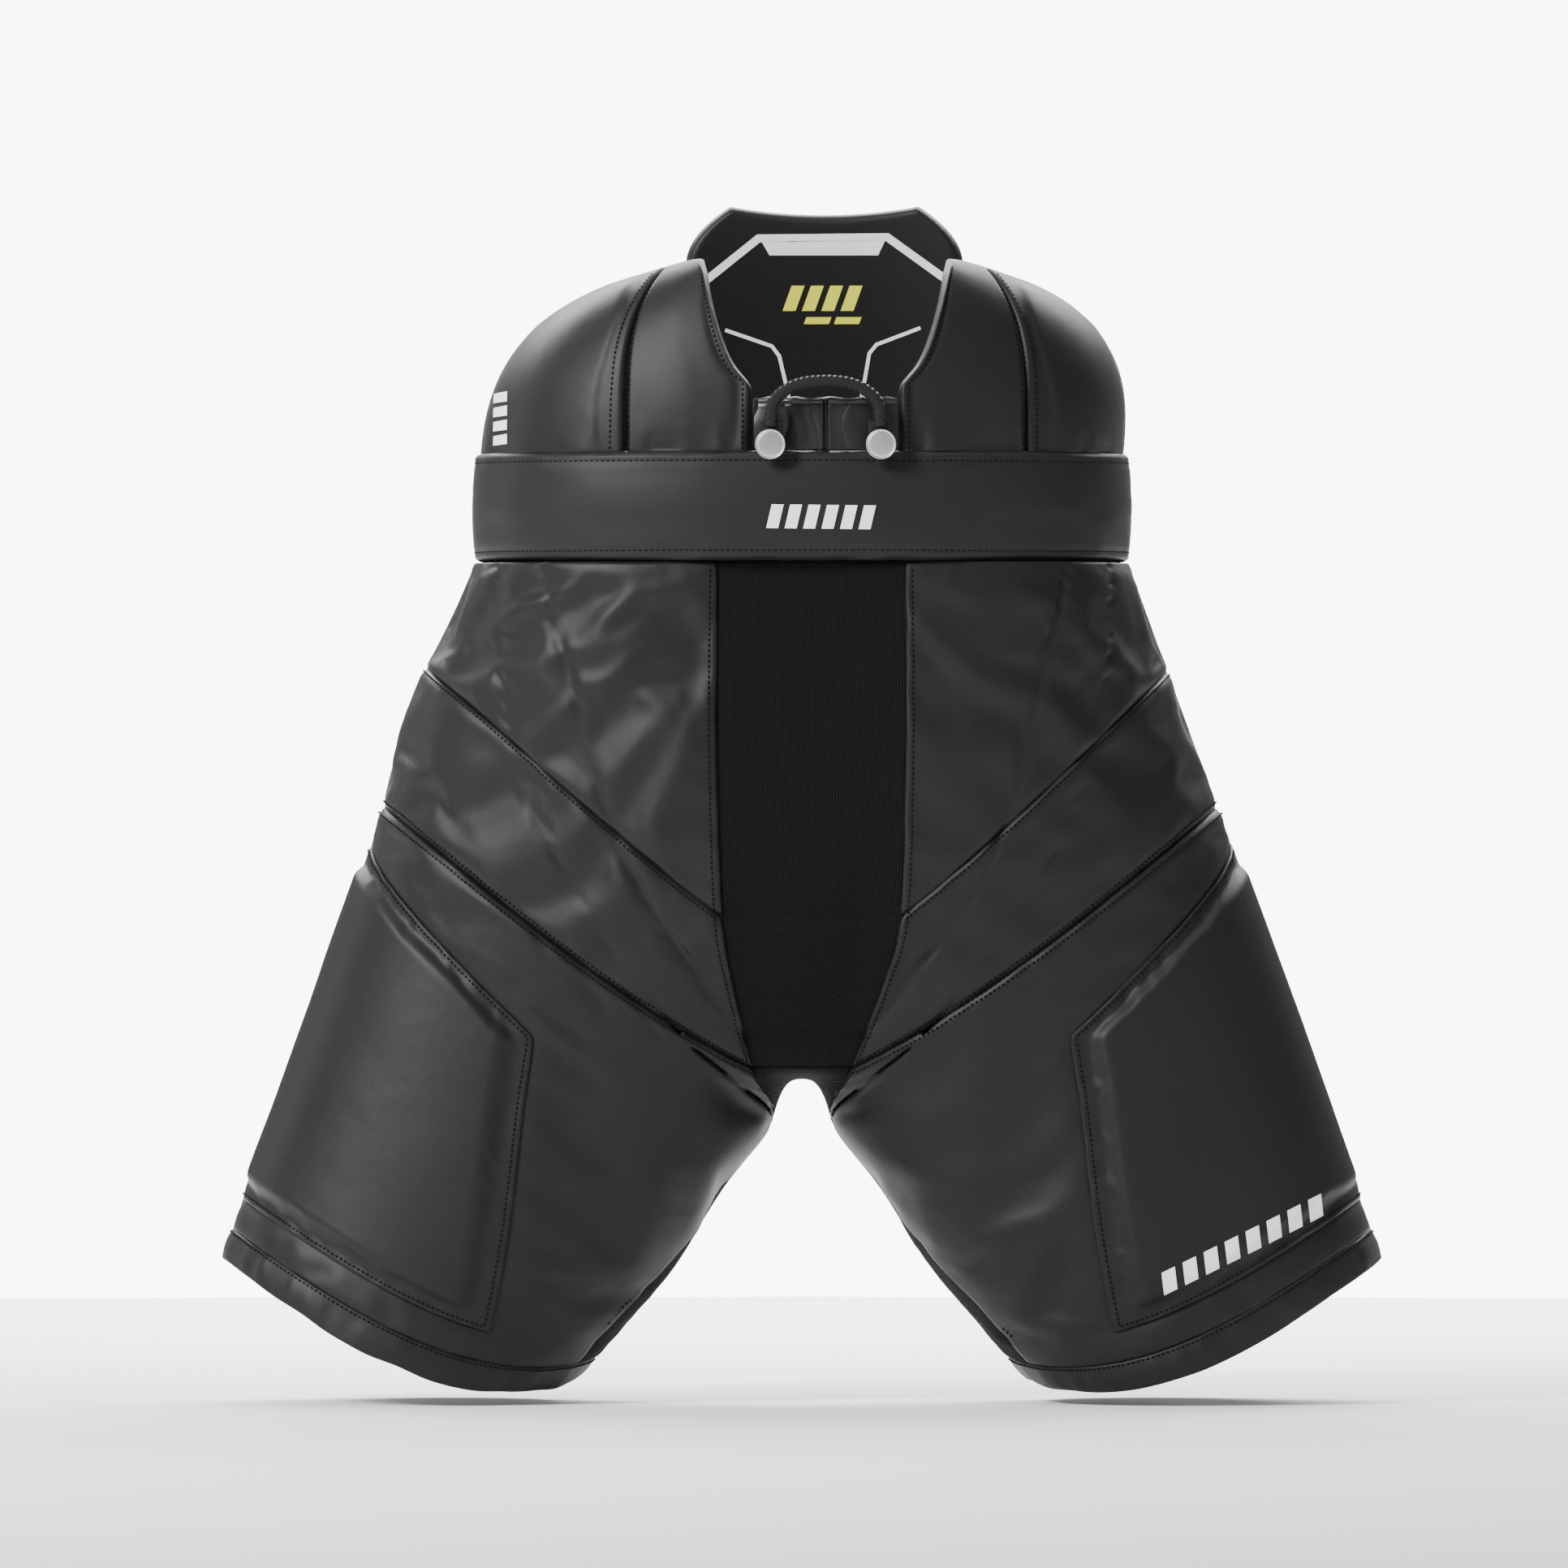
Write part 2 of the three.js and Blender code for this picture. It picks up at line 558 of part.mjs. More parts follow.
function addShell(side, name) {
  const area = (face, w0, w1, r0, r1) => (u, v) => {
    const low = typeof w0 === 'function' ? w0(mix(r0, r1, v)) : w0;
    const high = typeof w1 === 'function' ? w1(mix(r0, r1, v)) : w1;
    return [face, mix(low, high, u), mix(r0, r1, v)];
  };
  add(`front_upper_panel_${name}`,
    shellPanel(side, area(-1, 0, 1, 0, seam_row - row_gap), 0, -cloth, 10, 4), nylon);
  add(`front_mid_panel_${name}`,
    shellPanel(side, area(-1, 0, 1, seam_row + row_gap, swing_row), 0, -cloth, 10, 4, 1), nylon);
  add(`seat_panel_${name}`,
    shellPanel(side, area(1, 0, 1, 0, swing_row), 0, -cloth, 8, 8, 1), nylon);

  const opening = (row) => ease((row - swing_row) / (fork_row - swing_row));
  const frontReach = (row) => opening(row) * strip_front;
  const rearReach = (row) => opening(row) * strip_rear;
  const legRow = (v) => (v < 0.2 ? mix(swing_row, fork_row, v / 0.2)
    : mix(fork_row, band_row - 2 * row_gap, (v - 0.2) / 0.8));
  const strip = (u, v) => {
    const row = mix(fork_row, band_row - 2 * row_gap, v);
    const w = mix(-frontReach(row) + width_gap, rearReach(row) - width_gap, u);
    return [w < 0 ? -1 : 1, Math.abs(w), row];
  };
  add(`inner_leg_panel_${name}`, shellPanel(side, strip, 0, -cloth, 6, 8), knit);
  const rear = (u, v) => [1, mix(rearReach(legRow(v)) + width_gap, 1, u), legRow(v)];
  add(`leg_rear_panel_${name}`,
    shellPanel(side, rear, 0, -cloth, 8, 10, -1), nylon);

  // The thigh pocket, from its inner edge (a = 0) to the side seam (a = 1).
  const pocket_foot = band_row - row_gap;
  const pocket = (a, b) => [-1, mix(mix(pocket_inner_top, pocket_inner_foot, b), 1, a),
    mix(mix(pocket_top_inner, pocket_foot, b), mix(pocket_top_outer, pocket_foot, b), a)];
  const lift = (a, b) => {
    const edge = Math.min(a, 1 - a, b, 1 - b);
    return pocket_rise * ease(edge / pocket_slope);
  };
  const margin = 3 * width_gap;
  const inset = (low, high) => (u, v) => pocket(mix(low, high, u), mix(low, high, v));
  const cover = (u, v) => lift(mix(margin, 1 - margin, u), mix(margin, 1 - margin, v));
  add(`thigh_pocket_${name}`,
    shellPanel(side, inset(margin, 1 - margin), cover, (u, v) => cover(u, v) - pocket_cloth, 10, 10), nylon);
  const shell_top = pocket_rise - pocket_cloth - padding_gap;
  const foam_top = shell_top - shell_thickness - padding_gap;
  const plate = inset(pocket_slope, 1 - pocket_slope);
  add(`thigh_shell_${name}`,
    shellPanel(side, plate, shell_top, shell_top - shell_thickness, 8, 4), plastic);
  const liner_top = foam_top - foam_thickness - padding_gap;
  add(`thigh_foam_${name}`,
    shellPanel(side, inset(margin, 1 - margin), foam_top, foam_top - foam_thickness, 10, 5), foam);
  add(`thigh_liner_${name}`,
    shellPanel(side, inset(margin, 1 - margin), liner_top, liner_top - liner_thickness, 10, 5), nylon);

  // The nylon beside and above the pocket: a strip that follows the lower seam and the inner leg
  // on one edge and the pocket on the other.
  const bend = 0.5;
  const bordered = (u, v) => {
    const top = u < bend;
    const along = top ? u / bend : (u - bend) / (1 - bend);
    const row = legRow(top ? 0 : along);
    const outer = top ? [1 - along, swing_row] : [frontReach(row) + width_gap, row];
    const rim = top ? pocket(1 - along, 0) : pocket(0, along);
    return [-1, mix(outer[0], rim[1] - (top ? 0 : width_gap), v),
      mix(outer[1], rim[2] - row_gap, v)];
  };
  add(`leg_front_panel_${name}`, shellPanel(side, bordered, 0, -cloth, 20, 2, -1), nylon);

  const band = (offset) => (u, v) => {
    const angle = 2 * u;
    const face = angle <= 1 ? -1 : 1;
    const w = angle <= 1 ? angle : 2 - angle;
    return shellAt(side, face, w, mix(band_row + row_gap, hem_row, v), offset);
  };
  add(`hem_band_${name}`, panel(band(0), band(-cloth), 24, 1, true), nylon);
}

addBelt();
addWings();
addKidneyPad();
addFly();
addSnaps();
addStretchPanels();
for (const [side, name] of sides) addShell(side, name);

// The origin is the middle of the belt, where a wearer's waist holds the garment up.
pants.position.z = -(belt_bottom + gap + belt_height / 2);

export default pants;
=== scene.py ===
import json
import math

import bmesh
import bpy
import numpy as np
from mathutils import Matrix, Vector
from mathutils.bvhtree import BVHTree

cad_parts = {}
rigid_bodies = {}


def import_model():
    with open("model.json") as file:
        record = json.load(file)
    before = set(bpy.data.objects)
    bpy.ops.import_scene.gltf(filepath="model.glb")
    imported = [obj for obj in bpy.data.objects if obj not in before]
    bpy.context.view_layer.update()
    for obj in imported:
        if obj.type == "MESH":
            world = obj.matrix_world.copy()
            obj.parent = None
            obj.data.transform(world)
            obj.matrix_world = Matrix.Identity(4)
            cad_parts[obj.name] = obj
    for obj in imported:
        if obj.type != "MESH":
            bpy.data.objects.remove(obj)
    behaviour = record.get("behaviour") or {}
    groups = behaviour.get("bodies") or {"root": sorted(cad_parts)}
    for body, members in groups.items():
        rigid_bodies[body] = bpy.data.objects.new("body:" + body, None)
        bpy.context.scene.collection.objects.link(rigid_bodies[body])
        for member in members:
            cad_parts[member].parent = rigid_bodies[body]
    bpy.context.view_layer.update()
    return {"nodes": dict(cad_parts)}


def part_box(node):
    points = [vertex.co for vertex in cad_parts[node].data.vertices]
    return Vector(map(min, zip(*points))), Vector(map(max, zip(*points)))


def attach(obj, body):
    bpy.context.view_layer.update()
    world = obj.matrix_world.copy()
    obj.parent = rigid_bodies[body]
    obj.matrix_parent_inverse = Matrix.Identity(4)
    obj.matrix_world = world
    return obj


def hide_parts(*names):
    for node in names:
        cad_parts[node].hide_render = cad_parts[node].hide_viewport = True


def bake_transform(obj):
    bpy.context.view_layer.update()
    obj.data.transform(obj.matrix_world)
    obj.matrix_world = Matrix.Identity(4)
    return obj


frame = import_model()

# Ice-hockey pants. Shapes are drawn in millimetres, with X 0 at the crotch and heights above the
# lowest hem, and placed in the frame by the belt. The front faces -Y.
MM = 0.001
BELT_BOTTOM = 411.0
SEAM_GAP = 0.3
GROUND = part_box("belt_front")[0].z - (BELT_BOTTOM + SEAM_GAP) * MM
SIDES = ((-1, "left"), (1, "right"))
STILL = "shell"


# ---------------------------------------------------------------- curves and numbers

def through(values):
    """A smooth curve through evenly spaced values: f(0) is the first, f(1) the second."""
    v = np.asarray(values, float)
    padded = np.concatenate([[2 * v[0] - v[1]], v, [2 * v[-1] - v[-2]]])
    last = len(v) - 1

    def curve(x):
        x = np.asarray(x, float)
        i = np.clip(np.floor(x).astype(int), 0, last - 1)
        t = x - i
        a, b, c, d = (padded[i + k] for k in range(4))
        return b + 0.5 * t * (c - a + t * (2 * a - 5 * b + 4 * c - d + t * (3 * (b - c) + d - a)))
    return curve


def mix(a, b, t):
    return a + (b - a) * t


def ease(t):
    t = np.clip(t, 0, 1)
    return t * t * (3 - 2 * t)


def lengths(path):
    """Distance along a path at each of its points."""
    return np.concatenate([[0], np.cumsum(np.linalg.norm(np.diff(path, axis=0), axis=1))])


def bump(distance, width):
    """1 on a line, falling to 0 at about twice the width from it."""
    return np.exp(-(distance / width) ** 2)


def unit(v):
    return v / np.maximum(np.linalg.norm(v, axis=-1, keepdims=True), 1e-9)


def placed(points):
    """Drawn millimetres to metres in the frame."""
    return np.asarray(points, float) * MM + np.array([0, 0, GROUND])


# ---------------------------------------------------------------- the shell's surface
#
# Rows run 0..9 from the belt to the hem, widths 0..1 from the middle or inner leg to the side.
# Row 2 is the upper diagonal seam, row 4 the lower one, and row 5 the fork of the legs.

CURVE = 2.4
WAIST_HALF = 161.0
WAIST_DEPTH = 106.0
STRETCH_HALF = 46.0
STRETCH_SHIFT = 4.5
CROTCH = 163.0
FORK = (14.0, 138.0)
HEM_INNER = (112.0, 9.0)
HEM_OUTER = (286.0, 68.0)
HEM_SAG = 23.0
LEG_DEPTH = 94.0
SEAT_FULLNESS = 8.0
UPPER_SEAM, LOWER_SEAM, FORK_ROW, HEM_ROW = 2.0, 4.0, 5.0, 9.0
BAND_ROW = 8.6
POCKET_FOOT = 8.22
RISE = BELT_BOTTOM - CROTCH

inner_x = through([STRETCH_HALF * s for s in (1, 1.01, 0.95, 0.78, 0.52)]
                  + [mix(FORK[0], HEM_INNER[0], t) for t in (0, 0.25, 0.48, 0.735, 1)])
inner_z = through([BELT_BOTTOM - RISE * s for s in (0, 0.33, 0.7, 0.85, 1)]
                  + [mix(FORK[1], HEM_INNER[1], t) for t in (0, 0.27, 0.54, 0.775, 1)])
side_drop = through([0, 0.07, 0.155, 0.25, 0.35, 0.46, 0.6, 0.75, 0.885, 1])
front_depth = through([1.04, 1.06, 1.03, 1.01, 1, 0.99, 0.98, 0.98, 0.97, 0.97])
back_fullness = through([0, 0.7, 1, 0.5, 0, 0, 0, 0, 0, 0])
inner_round = through([0, 0, 0.05, 0.25, 0.62, 1, 1, 1, 1, 1])
shift_share = through([1, 1, 1, 0.6, 0, 0, 0, 0, 0, 0])


def round_off(s):
    return (1 - np.clip(np.abs(s), 0, 1) ** CURVE) ** (1 / CURVE)


def shell_point(side, face, width, row):
    """A point of the shell. side is -1 or 1; face is -1 at the front and 1 at the back."""
    width, row = np.broadcast_arrays(np.clip(width, 0, 1), np.asarray(row, float))
    roundness = np.clip(inner_round(row), 0, 1)
    s = mix(np.sin(math.pi / 2 * width), (1 - np.cos(math.pi * width)) / 2, roundness)
    shift = STRETCH_SHIFT * shift_share(row) if face < 0 else 0
    drop = side_drop(row)
    sag = HEM_SAG * (np.maximum(row, 0) / HEM_ROW) ** 1.3 * np.sin(math.pi * s ** 0.8)
    depth = LEG_DEPTH * front_depth(row) + (SEAT_FULLNESS * back_fullness(row) if face > 0 else 0)
    y = depth * round_off(s) * np.sqrt(np.maximum(0, 1 - roundness * (1 - s) ** 3))
    x = mix(inner_x(row) + side * shift, mix(WAIST_HALF, HEM_OUTER[0], drop), s)
    z = mix(inner_z(row), mix(BELT_BOTTOM, HEM_OUTER[1], drop), s) - sag
    return np.stack([side * x, face * y, z], -1)


def shell_normal(side, face, width, row):
    step = 0.002
    w = np.clip(width, 2 * step, 1 - 2 * step)
    r = np.clip(row, 2 * step, HEM_ROW - 2 * step)
    across = shell_point(side, face, w + step, r) - shell_point(side, face, w - step, r)
    down = shell_point(side, face, w, r + step) - shell_point(side, face, w, r - step)
    return unit(np.cross(across, down)) * side * face


def pocket_place(a, b):
    """Width and row on the front of a leg of a point of the thigh pocket. a runs from its inner
    edge to the side seam, b from its top to its foot."""
    top = mix(5.3, 4.5, a)
    return mix(mix(0.532, 0.391, b), 1, a), mix(top, POCKET_FOOT, b)


def pocket_share(width, row):
    """The pocket's (a, b) at a width and row of the leg."""
    b = np.clip((row - 5.0) / (POCKET_FOOT - 5.0), -0.5, 1.2)
    for _ in range(6):
        low = mix(0.532, 0.391, b)
        a = (width - low) / (1 - low)
        top = mix(5.3, 4.5, a)
        b = (row - top) / (POCKET_FOOT - top)
    return a, b


# ---------------------------------------------------------------- meshes

def new_object(name, points, faces):
    mesh = bpy.data.meshes.new(name)
    mesh.from_pydata([tuple(p) for p in points], [], [tuple(f) for f in faces])
    mesh.validate()
    mesh.update()
    mesh.polygons.foreach_set("use_smooth", [True] * len(mesh.polygons))
    obj = bpy.data.objects.new(name, mesh)
    bpy.context.scene.collection.objects.link(obj)
    return obj


def grid_faces(rows, columns, ring=False, flip=False, keep=None):
    """Quads of a grid of points stored row by row."""
    faces = []
    for j in range(rows - 1):
        for i in range(columns if ring else columns - 1):
            if keep is not None and not keep[j, i]:
                continue
            k = (i + 1) % columns
            quad = (j * columns + i, j * columns + k, (j + 1) * columns + k, (j + 1) * columns + i)
            faces.append(quad[::-1] if flip else quad)
    return faces


def baked(obj, *modifiers):
    """Adds modifiers, each (type, {settings}), and applies them to the mesh."""
    for kind, settings in modifiers:
        modifier = obj.modifiers.new(kind.lower(), kind)
        for key, value in settings.items():
            setattr(modifier, key, value)
    graph = bpy.context.evaluated_depsgraph_get()
    mesh = bpy.data.meshes.new_from_object(obj.evaluated_get(graph))
    obj.modifiers.clear()
    old = obj.data
    obj.data = mesh
    bpy.data.meshes.remove(old)
    mesh.polygons.foreach_set("use_smooth", [True] * len(mesh.polygons))
    return obj


def grid_normals(points, ring=False):
    """Unit normals of a grid of points, (rows, columns, 3)."""
    down = np.gradient(points, axis=0)
    if ring:
        across = (np.roll(points, -1, 1) - np.roll(points, 1, 1)) / 2
    else:
        across = np.gradient(points, axis=1)
    return unit(np.cross(across, down))


def edge_distances(points):
    """Millimetres from each point of a grid to its left, right, first-row and last-row edges."""
    across = np.linalg.norm(np.diff(points, axis=1), axis=2)
    down = np.linalg.norm(np.diff(points, axis=0), axis=2)
    left = np.concatenate([np.zeros((points.shape[0], 1)), np.cumsum(across, 1)], 1)
    top = np.concatenate([np.zeros((1, points.shape[1])), np.cumsum(down, 0)], 0)
    return left, left[:, -1:] - left, top, top[-1:] - top


def nearest_edge(points):
    left, right, low, high = edge_distances(points)
    return np.minimum(np.minimum(left, right), np.minimum(low, high))


def weld(obj):
    """Joins points closer than two hundredths of a millimetre, and drops loose ones."""
    bm = bmesh.new()
    bm.from_mesh(obj.data)
    bmesh.ops.remove_doubles(bm, verts=bm.verts, dist=0.02 * MM)
    loose = [v for v in bm.verts if not v.link_faces]
    bmesh.ops.delete(bm, geom=loose, context="VERTS")
    bm.to_mesh(obj.data)
    bm.free()


def cloth_sheet(name, points, outward, thickness, ring=False, keep=None):
    """A sheet of cloth from a grid of drawn points, thickened away from its outer face."""
    normal = grid_normals(points, ring)
    flip = float((normal * outward).sum()) < 0
    obj = new_object(name, placed(points.reshape(-1, 3)), grid_faces(*points.shape[:2], ring, flip, keep))
    weld(obj)
    return baked(obj, ("SUBSURF", {"levels": 1, "render_levels": 1}),
                 ("SOLIDIFY", {"thickness": thickness * MM, "offset": -1.0}))


def relaxed(points, pins, shrink, bending, frames, cap, pressure=0.0, gravity=0.0):
    """Cloth simulation of a grid of drawn points, held where pins is 1. Returns the moved grid,
    with no point further than cap from where it started."""
    flat = points.reshape(-1, 3)
    obj = new_object("cloth_trial", placed(flat), grid_faces(*points.shape[:2]))
    group = obj.vertex_groups.new(name="held")
    for index, weight in enumerate(pins.ravel()):
        if weight > 0:
            group.add([index], float(weight), "REPLACE")
    cloth = obj.modifiers.new("cloth", "CLOTH")
    settings = cloth.settings
    settings.quality = 4
    settings.mass = 0.15
    settings.tension_stiffness = settings.compression_stiffness = 15
    settings.shear_stiffness = 5
    settings.bending_stiffness = bending
    settings.vertex_group_mass = "held"
    settings.shrink_min = shrink
    settings.effector_weights.gravity = gravity
    settings.use_pressure = pressure != 0
    settings.uniform_pressure_force = pressure
    cloth.point_cache.frame_start = 1
    cloth.point_cache.frame_end = frames
    cloth.collision_settings.use_collision = False
    scene = bpy.context.scene
    for number in range(1, frames + 1):
        scene.frame_set(number)
    graph = bpy.context.evaluated_depsgraph_get()
    result = np.zeros(len(flat) * 3)
    obj.evaluated_get(graph).data.vertices.foreach_get("co", result)
    scene.frame_set(1)
    mesh = obj.data
    bpy.data.objects.remove(obj)
    bpy.data.meshes.remove(mesh)
    change = (result.reshape(-1, 3) - np.array([0, 0, GROUND])) / MM - flat
    length = np.linalg.norm(change, axis=1, keepdims=True)
    change *= np.minimum(1, cap / np.maximum(length, 1e-9))
    return (flat + change).reshape(points.shape)


def swings_with_leg(obj):
    """Cloth over the top of a leg has its placement baked into its mesh; it is not bent."""
    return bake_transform(obj)


def dress(obj, finish, *nodes, body=None, leg=None, slot=None, fill=None):
    """Gives a piece its finish, and says which CAD parts it stands for. It rides a body, or with a leg
    is only baked in place. slot is not used, and fill, how full a padded piece is, is not used."""
    obj.data.materials.append(finishes[finish])
    if leg:
        swings_with_leg(obj)
    else:
        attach(obj, body)
    if nodes:
        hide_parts(*nodes)
    return obj


def noise(x, y, seed, cell=1.0):
    """Smooth value noise from -1 to 1 on a lattice of the given cell."""
    lattice = np.random.default_rng(seed).uniform(-1, 1, (64, 64))
    x, y = np.asarray(x, float) / cell + 32, np.asarray(y, float) / cell + 32
    i, j = np.floor(x).astype(int), np.floor(y).astype(int)
    u, v = ease(x - i), ease(y - j)
    i, j = i % 63, j % 63
    low = mix(lattice[i, j], lattice[i + 1, j], u)
    high = mix(lattice[i, j + 1], lattice[i + 1, j + 1], u)
    return mix(low, high, v)


# ---------------------------------------------------------------- the two halves of the shell

WIDTHS = np.linspace(0, 1, 47)
ROWS = np.concatenate([np.linspace(0, UPPER_SEAM, 31), np.linspace(UPPER_SEAM, LOWER_SEAM, 21)[1:],
                       np.linspace(LOWER_SEAM, BAND_ROW, 55)[1:]])
UPPER_INDEX, LOWER_INDEX = 30, 50
HIP_FULLNESS, HIP_HEIGHT = 6.5, 338.0
CLOTH = 1.6


def radiating_folds(side, points, strength):
    """Folds that fan out from where the knit panel meets the belt."""
    x = -points[..., 0] * side
    origin = (-12.0, 418.0)
    dx, dz = x - origin[0], points[..., 2] - origin[1]
    radius = np.hypot(dx, dz)
    angle = np.degrees(np.arctan2(-dz, -dx))
    wander = angle + 5 * noise(radius, angle, 3 + side, 45)
    fine = noise(wander, radius * 0.05, 11 + side, 6.5)
    broad = noise(wander, radius * 0.04, 23 + side, 13)
    reach = ease((radius - 12) / 45) * (1 - ease((radius - 190) / 110))
    return strength * reach * (1.7 * fine + 1.9 * broad)


def fold(points, path, height, width):
    """One fold along a path of drawn (x, z) points."""
    route = np.array(path, float)
    here = points[..., [0, 2]]
    best = np.full(here.shape[:-1], 1e9)
    share = np.zeros(here.shape[:-1])
    total = len(route) - 1
    for k in range(total):
        a, b = route[k], route[k + 1]
        t = np.clip(((here - a) @ (b - a)) / ((b - a) @ (b - a)), 0, 1)
        distance = np.linalg.norm(here - a - t[..., None] * (b - a), axis=-1)
        closer = distance < best
        best = np.where(closer, distance, best)
        share = np.where(closer, (k + t) / total, share)
    taper = np.sin(math.pi * np.clip(0.08 + 0.84 * share, 0, 1))
    return height * taper * (bump(best, width) - 0.35 * bump(best, 2.2 * width))


FRONT_FOLDS = {
    -1: ((((-108, 409), (-110, 400), (-124, 392), (-140, 387), (-156, 378)), 4.2, 5),
         (((-82, 400), (-84, 393), (-95, 384), (-104, 376)), 3.2, 5),
         (((-60, 404), (-72, 396), (-86, 397)), 2.4, 5),
         (((-96, 372), (-120, 366), (-146, 356), (-168, 344)), 2.6, 8),
         (((-104, 360), (-108, 352), (-98, 352), (-84, 362)), 2.0, 4),
         (((-70, 372), (-100, 346), (-144, 314), (-184, 284)), 2.6, 9),
         (((-60, 346), (-86, 316), (-112, 274), (-126, 256)), 2.0, 8),
         (((-196, 314), (-188, 306), (-196, 294), (-206, 282)), 3.2, 5),
         (((-152, 404), (-160, 392), (-168, 378)), 2.6, 5),
         (((-54, 120), (-74, 112), (-92, 96)), 1.6, 8)),
    1: ((((60, 398), (96, 398), (130, 390), (150, 378)), 2.6, 8),
        (((104, 392), (136, 376), (160, 356), (168, 342)), 2.6, 8),
        (((56, 330), (80, 318), (104, 320)), 1.6, 9),
        (((56, 268), (80, 262), (104, 270)), 2.4, 8),
        (((44, 236), (62, 216), (84, 214)), 2.0, 8),
        (((120, 246), (150, 268), (178, 300)), 1.6, 9),
        (((30, 146), (60, 140), (96, 146)), 1.8, 7),
        (((44, 118), (72, 110), (112, 116)), 1.8, 7),
        (((78, 72), (98, 84), (124, 92)), 1.8, 6),
        (((108, 44), (116, 70), (122, 100)), 1.8, 7)),
}


def half_shell(side, face):
    """The outer face of one half, with its folds, as a grid over ROWS and WIDTHS."""
    width, row = np.meshgrid(WIDTHS, ROWS)
    flat = shell_point(side, face, width, row)
    out = shell_normal(side, face, width, row)
    lively = 1.0 if (side < 0 and face < 0) else 0.55
    lift = radiating_folds(side, flat, 0.95 * lively) * (1 - ease((row - 3.4) / 1.2))
    crinkle = noise(flat[..., 0], flat[..., 2], 31 + side + 5 * face, 17)
    crinkle += 0.5 * noise(flat[..., 0], flat[..., 2], 41 + side + 5 * face, 8)
    lift = lift + crinkle * mix(0.12, 0.32, ease((row - 4) / 1.5))
    if face < 0:
        for path, height, spread in FRONT_FOLDS[side]:
            lift = lift + fold(flat, path, height, spread)
    a, b = pocket_share(width, row)
    inside = np.minimum(np.minimum(a, b), 1 - b) if face < 0 else np.full(row.shape, -1.0)
    seams = np.minimum(np.abs(row - UPPER_SEAM), np.abs(row - LOWER_SEAM))
    edge = np.minimum(np.minimum(width, 1 - width) * 6, np.minimum(row, BAND_ROW - row))
    calm = ease(seams / 0.28) * ease(edge / 0.3) * ease(-inside / 0.12)
    lift = lift * calm
    if side < 0:
        lift = lift + HIP_FULLNESS * bump(flat[..., 2] - HIP_HEIGHT, 42) * ease((width - 0.5) / 0.45)
    held = ((seams < 0.03) | (edge < 0.02) | (inside > -0.03)).astype(float)
    points = relaxed(flat + out * lift[..., None], held, shrink=-0.010 * lively - 0.003, bending=2.5,
                     frames=14, cap=3.5, gravity=0.1)
    groove = 0.9 * bump(row - UPPER_SEAM, 0.05) + 1.1 * bump(row - LOWER_SEAM, 0.05)
    groove -= 0.5 * bump(row - UPPER_SEAM - 0.13, 0.06) + 0.8 * bump(row - LOWER_SEAM - 0.14, 0.08)
    groove += 1.6 * ease((inside + 0.02) / 0.05)
    return points - out * groove[..., None]


def on_grid(points, width, row, lift=0.0):
    """A place on a relaxed half, lifted off its face."""
    w = np.interp(width, WIDTHS, np.arange(len(WIDTHS)))
    r = np.interp(row, ROWS, np.arange(len(ROWS)))
    i = np.clip(w.astype(int), 0, len(WIDTHS) - 2)
    j = np.clip(r.astype(int), 0, len(ROWS) - 2)
    u, v = (w - i)[..., None], (r - j)[..., None]
    here = mix(mix(points[j, i], points[j, i + 1], u), mix(points[j + 1, i], points[j + 1, i + 1], u), v)
    across = points[j, i + 1] - points[j, i]
    down = points[j + 1, i] - points[j, i]
    normal = unit(np.cross(across, down))
    middle = np.stack([0.6 * here[..., 0], 0 * here[..., 0], here[..., 2]], -1)
    normal = normal * np.sign(np.sum(normal * (here - middle), -1, keepdims=True))
    return here + normal * lift, normal


def strip_reach(face, row):
    """How far the knit of the inner leg reaches on to the front or the back, as a width."""
    if face < 0:
        return 0.16 * ease((row - FORK_ROW - 0.3) / 2.6)
    return 0.33 * ease((row - LOWER_SEAM) / 1.4)


def make_halves():
    """The nylon panels, cut from the relaxed halves along their seams."""
    halves = {}
    foot = len(ROWS) - 1
    front_cuts = (("front_upper", 0, UPPER_INDEX), ("front_mid", UPPER_INDEX, LOWER_INDEX),
                  ("leg_front", LOWER_INDEX, foot))
    rear_cuts = (("seat", 0, LOWER_INDEX), ("leg_rear", LOWER_INDEX, foot))
    mid_width, mid_row = np.meshgrid((WIDTHS[1:] + WIDTHS[:-1]) / 2, (ROWS[1:] + ROWS[:-1]) / 2)
    for side, name in SIDES:
        for face, cuts in ((-1, front_cuts), (1, rear_cuts)):
            points = halves[side, face] = half_shell(side, face)
            out = shell_normal(side, face, *np.meshgrid(WIDTHS, ROWS))
            for title, first, last in cuts:
                rows = slice(first, last + 1)
                piece, keep = points[rows], None
                if title.startswith("leg"):
                    w, r = np.meshgrid(WIDTHS, ROWS[rows])
                    reach = strip_reach(face, r)
                    piece = on_grid(points, mix(reach, 1, w), r)[0]
                if title == "leg_front":
                    a, b = pocket_share(mix(reach[:-1, :-1], 1, mid_width[first:last]), mid_row[first:last])
                    keep = ~((a > 0.06) & (b > 0.05) & (b < 0.95))
                obj = cloth_sheet(f"{title}_cloth_{name}", piece, out[rows], CLOTH, keep=keep)
                dress(obj, "nylon", f"{title}_panel_{name}", leg=name)
    return halves


